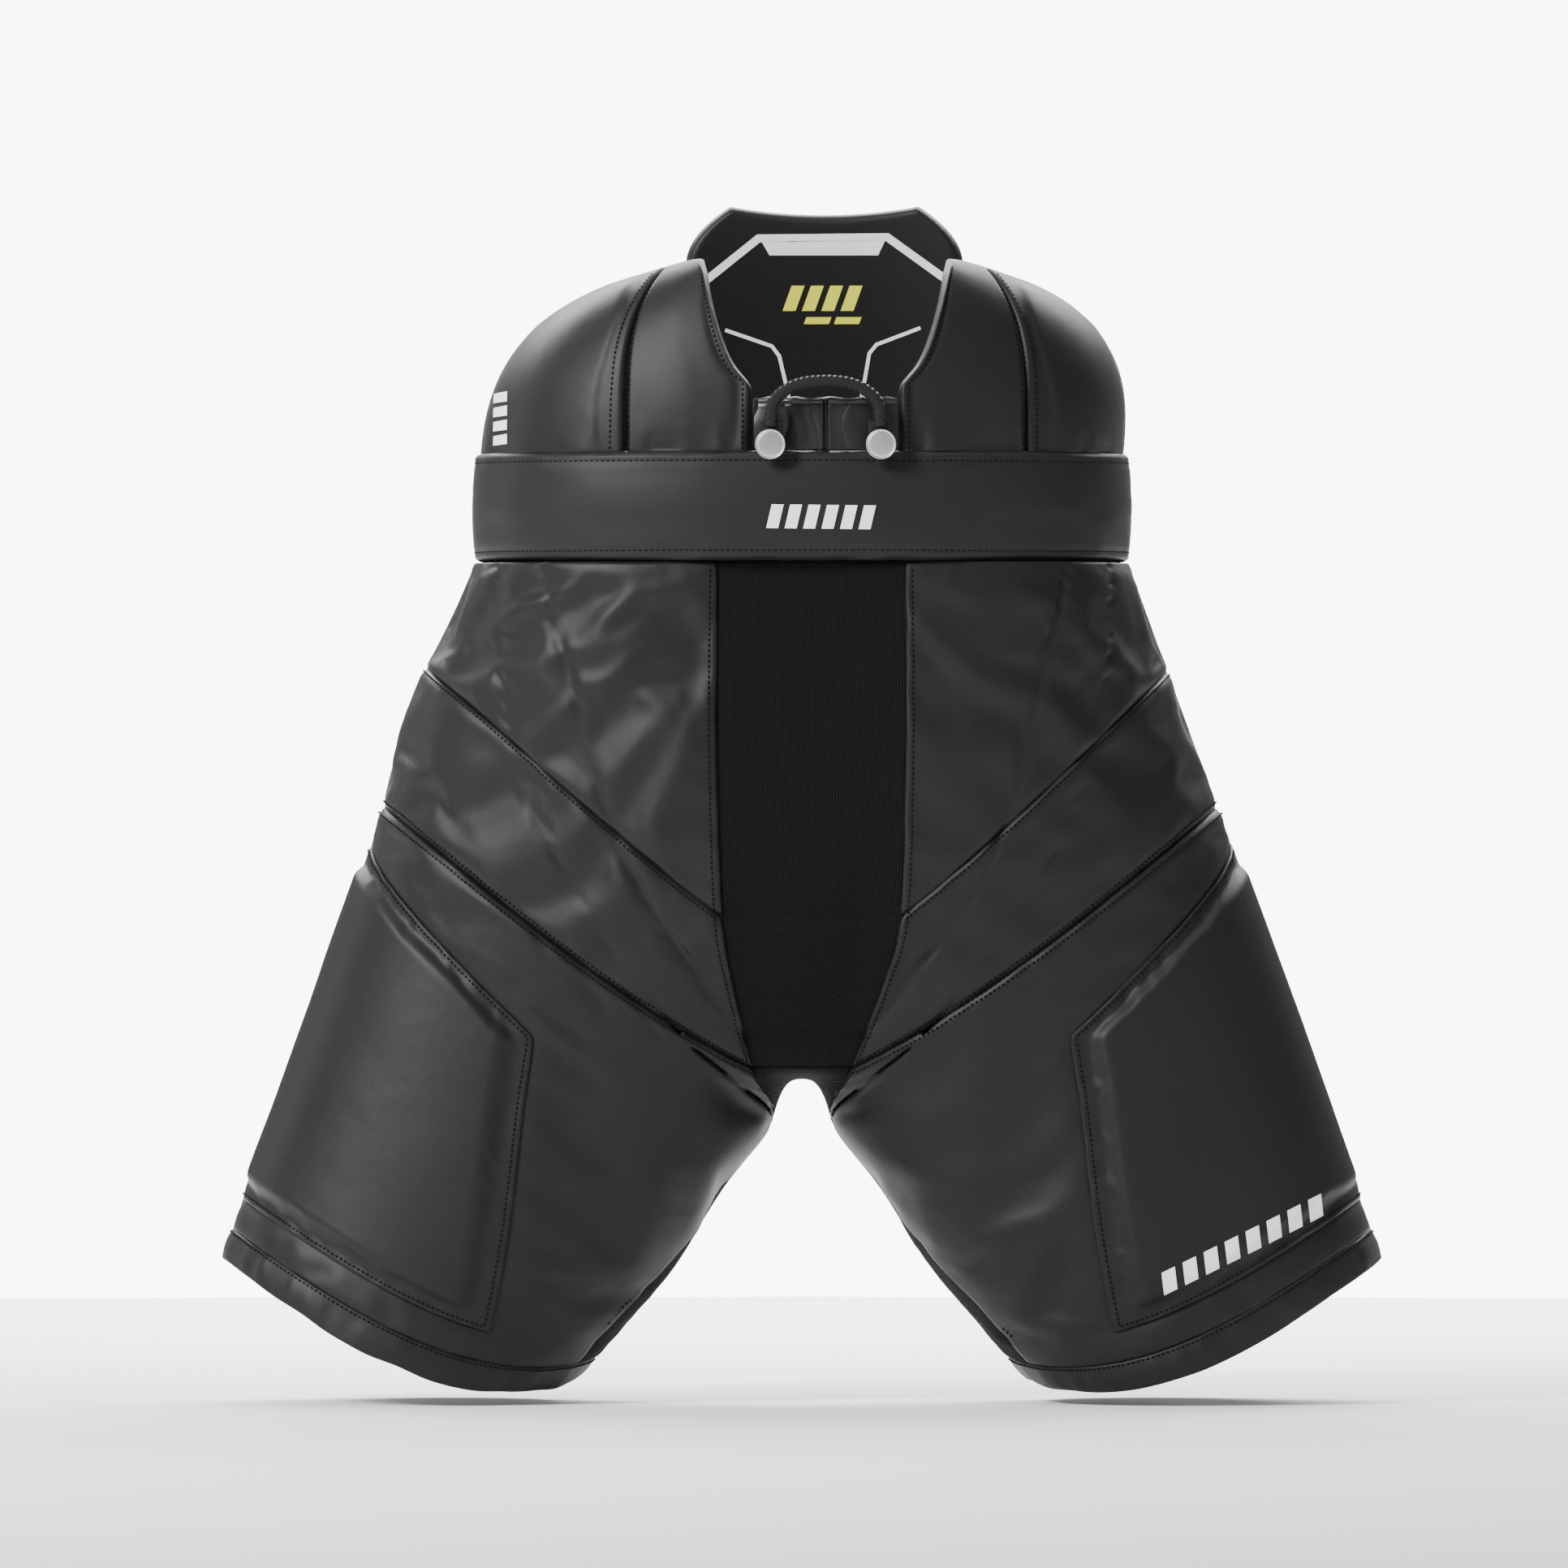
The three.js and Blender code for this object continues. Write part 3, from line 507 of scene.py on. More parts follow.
def make_inner_legs(halves):
    """The knit strip that closes each leg on the inside, from its front round to its rear."""
    rows = ROWS[LOWER_INDEX:]
    columns = 12
    share = np.linspace(0, 1, columns)
    for side, name in SIDES:
        w, r = np.meshgrid(share[::-1], rows)
        front = on_grid(halves[side, -1], w * strip_reach(-1, r), r)[0]
        w, r = np.meshgrid(share, rows)
        rear = on_grid(halves[side, 1], w * strip_reach(1, r), r)[0]
        join = rows >= FORK_ROW - 0.01
        front[join, -1] = rear[join, 0] = (front[join, -1] + rear[join, 0]) / 2
        keep = np.ones((len(rows) - 1, 2 * columns - 1), bool)
        keep[:, columns - 1] = False
        keep[rows[1:] < FORK_ROW + 0.3, :columns - 1] = False
        obj = cloth_sheet(f"inner_leg_knit_{name}", np.concatenate([front, rear], axis=1), (-side, 0, 0),
                          CLOTH, keep=keep)
        dress(obj, "knit", f"inner_leg_panel_{name}", leg=name)


def middle_edge(halves, face, rows):
    """The left and right edges of the nylon along the middle of the garment."""
    return [on_grid(halves[side, face], np.zeros(len(rows)), rows)[0] for side in (-1, 1)]


def make_stretch_panels(halves):
    """The knit panels between the two halves, and the gusset that joins them at the crotch."""
    rows = np.linspace(0, LOWER_SEAM, 91)
    share = np.linspace(-1, 1, 41)
    under_nylon = 3.5
    for face, title, slack in ((-1, "front_stretch", 1.0), (1, "rear_stretch", 0.3)):
        left, right = middle_edge(halves, face, rows)
        left[:, 0] -= under_nylon
        right[:, 0] += under_nylon
        points = mix(left[:, None], right[:, None], (share[None, :, None] + 1) / 2)
        arch = 1 - share[None] ** 2
        hollow = 1.2 + 1.3 * arch * np.sin(math.pi * rows / LOWER_SEAM)[:, None]
        wave = noise(points[..., 0], points[..., 2], 61 + face, 34)
        crease = bump(share[None] - 0.55, 0.14) * bump(rows[:, None] - 2.5, 0.7)
        points[..., 1] -= face * slack * (hollow + 0.7 * wave * arch + 0.9 * crease)
        obj = cloth_sheet(f"{title}_knit", points, (0, face, 0), CLOTH)
        dress(obj, "knit", f"{title}_panel", body=STILL)
    half = 17
    down = np.linspace(LOWER_SEAM, FORK_ROW, half)
    edges = [[edge[0] for edge in middle_edge(halves, face, np.array([row]))]
             for face, way in ((-1, down), (1, down[-2::-1])) for row in way]
    edges = np.array(edges)
    share = np.linspace(-1, 1, half)
    points = mix(edges[:, 0, None], edges[:, 1, None], (share[None, :, None] + 1) / 2)
    along = np.linspace(-1, 1, len(edges))[:, None]
    arch = CROTCH - 6.0 * (1 - along ** 2)
    points[..., 2] = mix(points[..., 2], arch, 1 - np.abs(share[None]) ** 3)
    dress(cloth_sheet("gusset_knit", points, (0, 0, -1), CLOTH), "knit", "crotch_gusset", body=STILL)


POCKET_WIDE, POCKET_TALL = 138.0, 178.0
POCKET_FLANGE, POCKET_CORNER = 11.0, 16.0


def pocket_surface(side):
    """The thigh pocket's face as a grid over (a, b): a stitched flange, then the padding."""
    b, a = np.meshgrid(np.linspace(0, 1, 61), np.linspace(0, 1, 51), indexing="ij")
    width, row = pocket_place(a, b)
    base = shell_point(side, -1, width, row)
    out = shell_normal(side, -1, width, row)
    inner, outer = a * POCKET_WIDE, (1 - a) * POCKET_WIDE
    top, foot = b * POCKET_TALL, (1 - b) * POCKET_TALL
    rim = np.minimum(np.minimum(inner, top), np.minimum(foot, outer))
    corner = np.hypot(np.maximum(POCKET_CORNER - inner, 0), np.maximum(POCKET_CORNER - foot, 0))
    rim = np.minimum(rim, np.maximum(POCKET_CORNER - corner, 0.0))
    raised = ease((rim - POCKET_FLANGE + 3) / 6.5)
    along = np.where(inner < np.minimum(top, foot), base[..., 2], base[..., 0])
    pucker = noise(along, np.zeros_like(along), 71 + side, 5.5) + 0.6 * noise(along, rim * 0.1, 75, 3.2)
    strength = 0.55 if side < 0 else 0.85
    lift = 0.5 + 4.3 * raised + 1.1 * raised * ease(rim / 60)
    lift = lift + strength * pucker * np.sin(math.pi * np.clip(rim / 13, 0, 1))
    lift = lift + 0.5 * raised * noise(base[..., 0], base[..., 2], 81 + side, 38)
    pins = ((rim < 0.8) | (raised > 0.9)).astype(float)
    points = relaxed(base + out * lift[..., None], pins, shrink=-0.008, bending=1.5, frames=10, cap=1.2)
    return points, out


def make_pockets():
    pockets = {}
    for side, name in SIDES:
        pockets[side], out = pocket_surface(side)
        obj = cloth_sheet(f"thigh_pocket_cloth_{name}", pockets[side], out, 1.2)
        dress(obj, "nylon", f"thigh_pocket_{name}", leg=name, fill=0.8)
    return pockets


def thigh_grid(side, a_span, b_span, columns, rows):
    """Part of the pocket's place on the bare shell: shares, points, normals and nearest edges."""
    b, a = np.meshgrid(np.linspace(*b_span, rows), np.linspace(*a_span, columns), indexing="ij")
    place = pocket_place(a, b)
    points = shell_point(side, -1, *place)
    return a, points, shell_normal(side, -1, *place), nearest_edge(points)


def make_thigh_plates():
    """The moulded plate that the thigh pocket holds, hidden under its padding."""
    for side, name in SIDES:
        a, points, out, rim = thigh_grid(side, (0.13, 0.88), (0.1, 0.87), 34, 44)
        ribs = 0.5 * bump(np.abs(a - 0.5) - 0.22, 0.03) * ease((rim - 8) / 6)
        points = points + out * (0.2 + 1.2 * ease(rim / 7) + ribs)[..., None]
        obj = cloth_sheet(f"thigh_plate_{name}", points, out, 1.0)
        dress(obj, "plastic", f"thigh_shell_{name}", body=f"{name}_leg")


def make_thigh_foams():
    """The foam under each thigh plate, with its moulded edge."""
    for side, name in SIDES:
        _, points, out, rim = thigh_grid(side, (0.06, 0.95), (0.05, 0.94), 26, 34)
        points = points - out * (4.0 + 1.2 * (1 - ease(rim / 5)))[..., None]
        obj = cloth_sheet(f"thigh_foam_pad_{name}", points, out, 3.2)
        dress(obj, "foam", f"thigh_foam_{name}", body=f"{name}_leg", fill=0.9)


def make_hems():
    """The turned-up hem round each leg, gathered a little on its stitching."""
    hems = {}
    count, outside, inside = 111, 12, 7
    width = np.linspace(0, 1, count)
    ring_width = np.concatenate([width, width[-2:0:-1]])
    ring_face = np.where(np.arange(len(ring_width)) < count, -1, 1)
    down = np.concatenate([np.linspace(BAND_ROW, HEM_ROW, outside),
                           np.linspace(HEM_ROW, BAND_ROW + 0.15, inside + 1)[1:]])
    depth = np.where(np.arange(len(down)) < outside, 0, 2.2)
    share = (down - BAND_ROW) / (HEM_ROW - BAND_ROW)
    belly = np.sin(math.pi * np.clip(share, 0, 1))[:, None]
    for side, name in SIDES:
        points = np.zeros((len(down), len(ring_width), 3))
        out = np.zeros_like(points)
        for face in (-1, 1):
            pick = ring_face == face
            w, r = np.meshgrid(ring_width[pick], np.minimum(down, HEM_ROW - 0.02))
            points[:, pick] = shell_point(side, face, w, r)
            out[:, pick] = shell_normal(side, face, w, r)
        around = lengths(points[6])
        gather = noise(around[None], share[:, None] * 3, 91 + side, 6.5)
        gather = gather + 0.7 * noise(around[None], share[:, None] * 5, 95 + side, 15)
        lift = 0.9 * belly + 0.75 * gather * np.clip(belly + 0.15, 0, 1) - depth[:, None]
        points = points + out * lift[..., None]
        points[..., 2] += 0.8 * noise(around, 0 * around, 99 + side, 19) * share[:, None]
        hems[side] = points
        obj = cloth_sheet(f"hem_{name}", points, out, 1.0, ring=True)
        dress(obj, "nylon", f"hem_band_{name}", leg=name)
    return hems


# ---------------------------------------------------------------- pads above the belt

BELT_TALL, BELT_REACH = 54.0, 330.0
BELT_TOP = BELT_BOTTOM + SEAM_GAP + BELT_TALL
WALL_BASE = BELT_TOP + SEAM_GAP
WALL_HIGH = 92.0
WALL_SHIFT = 10.0
CLOSURE = 11.5
BELOW_TOP = -3.0


def wall_shift(h):
    """How far the pads lean to the fly's side at a height above the belt."""
    return WALL_SHIFT * h / WALL_HIGH


def wall_half_x(h):
    """Half the width of the pads' outline at a height above the belt, which would close at 104 mm."""
    return 157.0 * round_off(np.maximum(h, 0) / 104.0)


def wall_half_y(h):
    """Half the depth of that outline, which would close at 135 mm."""
    return 103.0 * round_off(np.maximum(h, 0) / 135.2)


def notch_half(h):
    """Half the width of the open V over the fly."""
    return mix(36.0, 61.0, np.sqrt(np.clip((h - 34) / 58, 0, 1)))


def yoke_half(h):
    """How far the yokes reach from the fly."""
    return 98 - 20 * (h / WALL_HIGH) ** 4


def round_sin(angle):
    return np.sign(np.sin(angle)) * np.abs(np.sin(angle)) ** (2 / CURVE)


def round_cos(angle):
    return np.sign(np.cos(angle)) * np.abs(np.cos(angle)) ** (2 / CURVE)


def wall_angle(side, x, h):
    share = np.clip(side * (x - wall_shift(h)) / wall_half_x(h), 0, 1)
    return np.arcsin(share ** (CURVE / 2))


def wall_outward(points, h):
    out = np.stack([(points[..., 0] - wall_shift(h)) / wall_half_x(h) ** 2,
                    points[..., 1] / wall_half_y(h) ** 2, np.zeros_like(h)], -1)
    return unit(out)


def spread(count, squeeze=0.75):
    """Places from 0 to 1 that crowd towards both ends."""
    s = np.linspace(0, 1, count)
    return s - squeeze * np.sin(2 * math.pi * s) / (2 * math.pi)


def crowded(across, up):
    """Grids of u and v, stored row by row upwards."""
    v, u = np.meshgrid(up, across, indexing="ij")
    return u, v


def pad_form(name, points, out, thickness, edge, relief=None, pressure=3.0, cap=2.0, crown=0.0):
    """A closed pad. points is its outer face as a grid, and out points away from the wearer."""
    rim = nearest_edge(points)
    swell = np.sqrt(1 - (1 - np.clip(rim / edge, 0, 1)) ** 2)
    middle = points - out * (thickness / 2)
    lift = thickness / 2 * swell + crown * ease(rim / 40)
    pins = (rim < 0.4).astype(float)
    if relief is not None:
        raised, seams = relief(*edge_distances(points))
        lift = lift + raised * swell
        pins = np.maximum(pins, seams)
    front = middle + out * lift[..., None]
    facing = 1.0 if (grid_normals(front) * out).sum() > 0 else -1.0
    front = relaxed(front, pins, shrink=-0.002, bending=6.0, frames=10, cap=cap, pressure=pressure * facing)
    back = middle - out * (thickness / 2 * swell)[..., None]
    faces = grid_faces(*points.shape[:2], flip=facing < 0)
    faces += [tuple(rim.size + k for k in reversed(f)) for f in faces]
    obj = new_object(name, placed(np.concatenate([front.reshape(-1, 3), back.reshape(-1, 3)])), faces)
    weld(obj)
    baked(obj, ("SUBSURF", {"levels": 1, "render_levels": 1}))
    return obj, front


def yoke_points(side, u, v):
    corner = 8.0 * np.clip(1 - u / 0.14, 0, 1) ** 2
    h = mix(BELOW_TOP, WALL_HIGH + 2.5 - 3.5 * u * u - corner, v)
    x = CLOSURE + side * mix(notch_half(h), yoke_half(h), u)
    y = -wall_half_y(h) * round_off((x - wall_shift(h)) / wall_half_x(h))
    points = np.stack([x, y, WALL_BASE + h], -1)
    return points, wall_outward(points, h)


hip_rim = through([91, 83, 69, 69, 78])


def hip_points(side, u, v):
    h = mix(BELOW_TOP, hip_rim(4 * u), v)
    front = wall_angle(side, CLOSURE + side * (yoke_half(h) + 0.6), h)
    rear = math.pi - wall_angle(side, CLOSURE + side * 78.0, h)
    angle = mix(front, rear, u)
    points = np.stack([wall_shift(h) + side * wall_half_x(h) * round_sin(angle),
                       -wall_half_y(h) * round_cos(angle), WALL_BASE + h], -1)
    return points, wall_outward(points, h)


def yoke_relief(side):
    def relief(left, right, low, high):
        rolled = 0.9 * bump(left - 2.6, 2.0) - 0.5 * bump(left - 7.5, 1.6)
        gathers = noise(left, low * 0.12, 101 + side, 5.5) * (1 - ease(low / 30)) * 1.7
        gathers = gathers + 0.9 * noise(left * 0.7, low * 0.1, 103 + side, 9) * (1 - ease(left / 34))
        soft = 0.5 * noise(left, low, 105 + side, 30)
        return rolled + gathers * ease(low / 4) + soft, 0.5 * (np.abs(left - 7.5) < 1.0)
    return relief


def hip_relief(side):
    def relief(left, right, low, high):
        panel = ease((left - 10 - 3 * np.sin(low / 14)) / 3.5) * ease((high - 9) / 4)
        gathers = noise(left, low * 0.1, 111 + side, 7) * (1 - ease(low / 20))
        return 1.3 * panel + 0.7 * gathers + 0.3 * noise(left, low, 113, 26), 0 * left
    return relief


def make_wings():
    """The front yokes and the hip wings. Returns the outer faces of both on each side."""
    wings = {}
    for side, name in SIDES:
        points, out = yoke_points(side, *crowded(spread(34), spread(36)))
        yoke, yoke_face = pad_form(f"yoke_pad_{name}", points, out, thickness=5.4, edge=2.6,
                                   relief=yoke_relief(side), crown=0.8)
        dress(yoke, "nylon", f"yoke_{name}", body=STILL, fill=0.7)
        points, out = hip_points(side, *crowded(spread(70, 0.6), spread(30)))
        hip, hip_face = pad_form(f"hip_wing_{name}", points, out, thickness=6.4, edge=2.6,
                                 relief=hip_relief(side), crown=0.6)
        dress(hip, "nylon", f"hip_pad_{name}", body=STILL, fill=0.8)
        wings[side] = (yoke_face, hip_face)
    return wings


KIDNEY_HALF, KIDNEY_HIGH = 75.0, 124.0
KIDNEY_LEAN = 0.12


def kidney_points(u, v):
    """The kidney pad's face: it narrows upwards, with cut corners and a slight dip at the top."""
    share = 2 * u - 1
    half = KIDNEY_HALF - 6 * v - 22 * np.clip((v - 0.77) / 0.23, 0, 1) ** 2
    x = CLOSURE + share * half
    top = KIDNEY_HIGH - 4 * (1 - share * share)
    lean = KIDNEY_LEAN * v * (KIDNEY_HIGH - 3)
    foot = np.zeros(1)
    y = wall_half_y(foot) * round_off(x / wall_half_x(foot)) - lean - SEAM_GAP
    return np.stack([x, y, WALL_BASE + 2 * SEAM_GAP + v * top], -1)


def make_kidney_pad():
    """The back board with its foam, in one smooth cover. Its inner face shows through the notch."""
    points = kidney_points(*crowded(spread(52, 0.6), spread(44, 0.6)))
    out = grid_normals(points)
    out = out * np.sign(out[..., 1].mean())
    obj, _ = pad_form("kidney_cover", points, out, thickness=11.4, edge=4.6, pressure=1.5, cap=1.2,
                      crown=0.5)
    return dress(obj, "satin", "kidney_board", "kidney_foam", body="kidney_pad", fill=0.9)


def belt_outward(points):
    """Directions straight out of the waist's outline."""
    x, y = points[..., 0], points[..., 1]
    return unit(np.stack([x / WAIST_HALF ** 2, y / WAIST_DEPTH ** 2, 0 * x], -1))


def belt_points(face, u, v):
    angle = math.pi * (u - 0.5)
    bulge = 1.5 * np.sin(math.pi * v)
    x = (WAIST_HALF + bulge) * round_sin(angle)
    y = (WAIST_DEPTH + bulge) * round_cos(angle) - 0.4
    points = np.stack([x, face * y, BELT_BOTTOM + SEAM_GAP + BELT_TALL * v], -1)
    return points, belt_outward(points)


def make_belt():
    """The padded belt's two covers. Returns their outer faces."""
    faces = {}
    u, v = crowded(spread(120, 0.2), spread(26, 0.7))
    around = BELT_REACH * u
    for face, name in ((-1, "front"), (1, "back")):
        def relief(left, right, low, high):
            ripple = 0.55 * noise(around * 0.35, low, 121 + face, 9) * np.sin(math.pi * v)
            pulls = 0.7 * noise(around, low * 0.15, 123 + face, 12) * (bump(low, 8) + bump(high, 6))
            welt = -0.6 * bump(high - 5.5, 1.4) - 0.5 * bump(low - 5.0, 1.4)
            return ripple + pulls + welt, 0 * left
        points, out = belt_points(face, u, v)
        obj, faces[face] = pad_form(f"belt_cover_{name}", points, out, thickness=8.2, edge=4.2,
                                    relief=relief, pressure=2.0, cap=1.5, crown=0.4)
        dress(obj, "satin", f"belt_{name}", body=STILL, fill=0.75)
    return faces


def make_fly():
    """Gathered satin behind the snaps: soft vertical pleats with a slit in the middle."""
    u, v = crowded(np.linspace(0, 1, 121), np.linspace(0, 1, 30))
    half, high = 35.1, 26.0
    x = CLOSURE + (2 * u - 1) * half
    h = high * v
    y = -wall_half_y(h) * round_off((x - wall_shift(h)) / wall_half_x(h))
    phase = 9.5 * math.pi * (u + 0.03 * np.sin(5 * v + 9 * u))
    pleat = 2.0 * np.abs(np.sin(phase / 2)) ** 0.7 * (0.65 + 0.35 * noise(40 * u, 4 * v, 131, 5))
    slit = 2.2 * bump(u - 0.5, 0.014)
    hem = 0.7 * bump(v - 0.95, 0.035) - 0.5 * bump(v - 0.87, 0.02)
    y = y - pleat * ease((1 - v) / 0.12 + 0.35) + slit - hem + 0.9
    z = WALL_BASE + h - 0.9 * np.abs(np.cos(phase / 2)) * (v > 0.93)
    obj = cloth_sheet("fly_pleats", np.stack([x, y, z], -1), (0, -1, 0), 1.3)
    dress(obj, "lining", "fly_gather", body=STILL, slot="satin")


# ---------------------------------------------------------------- hang loop and snaps

SNAP_PITCH = 27.0
SNAP_HEIGHT = 468.0
LOOP_FRONT = -112.0


def ribbon(name, path, flat_way, width, thickness, rib, pitch):
    """A woven band along a path. flat_way is the direction of its width."""
    along = lengths(path)
    tangent = unit(np.gradient(path, axis=0))
    side = unit(np.broadcast_to(flat_way, path.shape) - tangent
                * np.sum(tangent * flat_way, -1, keepdims=True))
    normal = np.cross(tangent, side)
    turns = np.linspace(0, 2 * math.pi, 20, endpoint=False)
    cx = np.sign(np.cos(turns)) * np.abs(np.cos(turns)) ** 0.35 * width / 2
    cy = np.sign(np.sin(turns)) * np.abs(np.sin(turns)) ** 0.8 * thickness / 2
    strand = np.sin(2 * math.pi * (along[:, None] / pitch + 0.9 * np.abs(cx[None]) / width * 2))
    points = (path[:, None] + side[:, None] * cx[None, :, None]
              + normal[:, None] * (cy[None] * (1 + rib * strand))[..., None])
    return capped_tube(name, points, flip=False)


def capped_tube(name, points, flip):
    """A closed solid from rings of drawn points."""
    rows, columns = points.shape[:2]
    faces = grid_faces(rows, columns, ring=True, flip=flip)
    first, last = tuple(range(columns)), tuple((rows - 1) * columns + k for k in range(columns))
    faces += [first, last[::-1]] if flip else [first[::-1], last]
    return new_object(name, placed(points.reshape(-1, 3)), faces)


def make_hang_loop():
    """The braided loop over the fly, and its two folded ends under the snaps."""
    foot, high = SNAP_HEIGHT + 8.8, 22
    rise = through([0, 0.55, 0.9, 1, 0.9, 0.55, 0])
    across = through([-1, -0.93, -0.55, 0, 0.55, 0.93, 1])
    t = np.linspace(0, 6, 240)
    path = np.stack([CLOSURE + SNAP_PITCH * across(t), LOOP_FRONT - 0.5 * np.sin(math.pi * t / 6),
                     foot + high * rise(t)], -1)
    loop = ribbon("hang_loop_braid", path, np.array([0, 1.0, 0]), 5.2, 5.4, rib=0.16, pitch=2.6)
    dress(loop, "braid", "hang_loop", body="hang_loop", slot="webbing")
    down = np.linspace(0, 1, 90)
    for side, name in SIDES:
        x = CLOSURE + side * (SNAP_PITCH - 0.8)
        path = np.stack([x + 0 * down, LOOP_FRONT + 0.12 * np.sin(9 * down),
                         SNAP_HEIGHT + 11.5 - 18.5 * down], -1)
        tab = ribbon(f"loop_end_{name}", path, np.array([1.0, 0, 0]), 10.8, 1.15, rib=0.25, pitch=1.7)
        dress(tab, "braid", f"loop_tab_{name}", body=f"{name}_snap", slot="webbing")


def lathe(name, outline, centre, turns=72):
    """A turned piece whose axis runs along -Y. outline holds (radius, distance along the axis)."""
    angle = np.linspace(0, 2 * math.pi, turns, endpoint=False)
    radius, reach = (np.array(column)[:, None] for column in zip(*outline))
    points = np.stack([centre[0] + radius * np.cos(angle), -reach + 0 * angle,
                       centre[1] + radius * np.sin(angle)], -1)
    return capped_tube(name, points, flip=True)


def make_snap_caps():
    """Pressed caps: a faintly domed face inside a thin rolled rim, each on a short rivet."""
    rim = [(7.04 + 0.34 * math.cos(a), 114.0 + 0.55 * math.sin(a))
           for a in np.linspace(-math.pi / 2, math.pi / 2, 9)]
    dome = [(6.2 * math.cos(a) + 0.02, 114.3 + 0.34 * math.sin(a)) for a in np.linspace(0, 1.55, 9)]
    outline = [(6.6, 113.05)] + rim + [(6.75, 114.42), (6.45, 114.3)] + dome
    for side, name in SIDES:
        centre = (CLOSURE + side * SNAP_PITCH, SNAP_HEIGHT)
        cap = lathe(f"snap_face_{name}", outline, centre)
        shank = lathe(f"snap_rivet_{name}", [(1.7, 111.85), (1.7, 113.1), (2.6, 113.1)], centre, 24)
        dress(cap, "nickel", f"snap_cap_{name}", body=f"{name}_snap")
        dress(shank, "nickel", body=f"{name}_snap")


# ---------------------------------------------------------------- stitching

class Stitching:
    """Gathers the stitches of one seam group into one object."""

    def __init__(self):
        self.points, self.faces = [], []

    def line(self, path, normal, pitch=2.6, length=1.75, radius=0.42):
        """Lays stitches along a path of drawn points, a little above it."""
        path = path + 0.1 * normal
        along = lengths(path)
        count = max(int(along[-1] / pitch), 1)
        for k in range(count):
            middle = (k + 0.5) * along[-1] / count
            ends = [middle - length / 2, middle + length / 2]
            a, b = (np.array([np.interp(e, along, path[:, i]) for i in range(3)]) for e in ends)
            n = unit(np.array([np.interp(middle, along, normal[:, i]) for i in range(3)]))
            self.one(a, b, n, radius)

    def one(self, a, b, n, radius):
        s = np.cross(unit(b - a), n)
        first = len(self.points)
        self.points.append(a - n * radius * 0.9)
        for share, high in ((0.16, 0.45), (0.5, 0.75), (0.84, 0.45)):
            c = mix(a, b, share)
            for angle in (0.0, 1.05, 2.09, 3.14, 4.71):
                up = n * radius * (high + math.sin(angle) * 0.8)
                self.points.append(c + s * radius * math.cos(angle) + up)
        self.points.append(b - n * radius * 0.9)
        last = len(self.points) - 1
        for k in range(5):
            m = (k + 1) % 5
            self.faces.append((first, first + 1 + m, first + 1 + k))
            for ring in (0, 5):
                p, q = first + 1 + ring + k, first + 1 + ring + m
                self.faces.append((p, q, q + 5, p + 5))
            self.faces.append((last, first + 11 + k, first + 11 + m))

    def sewn(self, name, **moves):
        dress(new_object(name, placed(self.points), self.faces), "thread", slot="satin", **moves)


def stitch_legs(halves, pockets, hems):
    t = np.linspace(0, 1, 140)
    strip_rows = mix(FORK_ROW + 0.1, BAND_ROW - 0.05, t)
    for side, name in SIDES:
        sewing = Stitching()
        for face in (-1, 1):
            routes = [(mix(0.012, 0.992, t), row + 0 * t)
                      for row in (UPPER_SEAM + 0.055, LOWER_SEAM - 0.075, LOWER_SEAM + 0.09)]
            routes.append((0.018 + 0 * t, mix(0.04, 4.9, t)))
            routes.append((strip_reach(face, strip_rows) + 0.014, strip_rows))
            for width, row in routes:
                sewing.line(*on_grid(halves[side, face], width, row, 0.05))
        pocket = pockets[side]
        normal = grid_normals(pocket)
        normal *= np.sign(-normal[..., 1].mean())
        for edge in (np.s_[1:-1, 1], np.s_[1, 1:-1], np.s_[-2, 1:-1]):
            sewing.line(pocket[edge], normal[edge])
        hem = hems[side]
        out = grid_normals(hem, ring=True)
        out *= np.sign(np.sum(out * (hem - hem.mean(axis=(0, 1))), -1, keepdims=True))
        sewing.line(hem[1], out[1])
        sewing.sewn(f"leg_stitching_{name}", leg=name)


def stitch_waist(wings, belt):
    sewing = Stitching()
    for grid in belt.values():
        for height in (BELT_TOP - 5.5, BELT_BOTTOM + 5.3):
            row = int(np.argmin(np.abs(grid[:, 60, 2] - height)))
            path = grid[row, 2:-2]
            sewing.line(path, belt_outward(path), pitch=2.9, length=1.9, radius=0.3)
    for yoke, hip in wings.values():
        for path in (yoke[3:-3, 6], hip[3:-3, 4], yoke[3:-3, -4]):
            sewing.line(path, wall_outward(path, path[:, 2] - WALL_BASE))
    sewing.sewn("waist_stitching", body=STILL)


# ---------------------------------------------------------------- printed marks

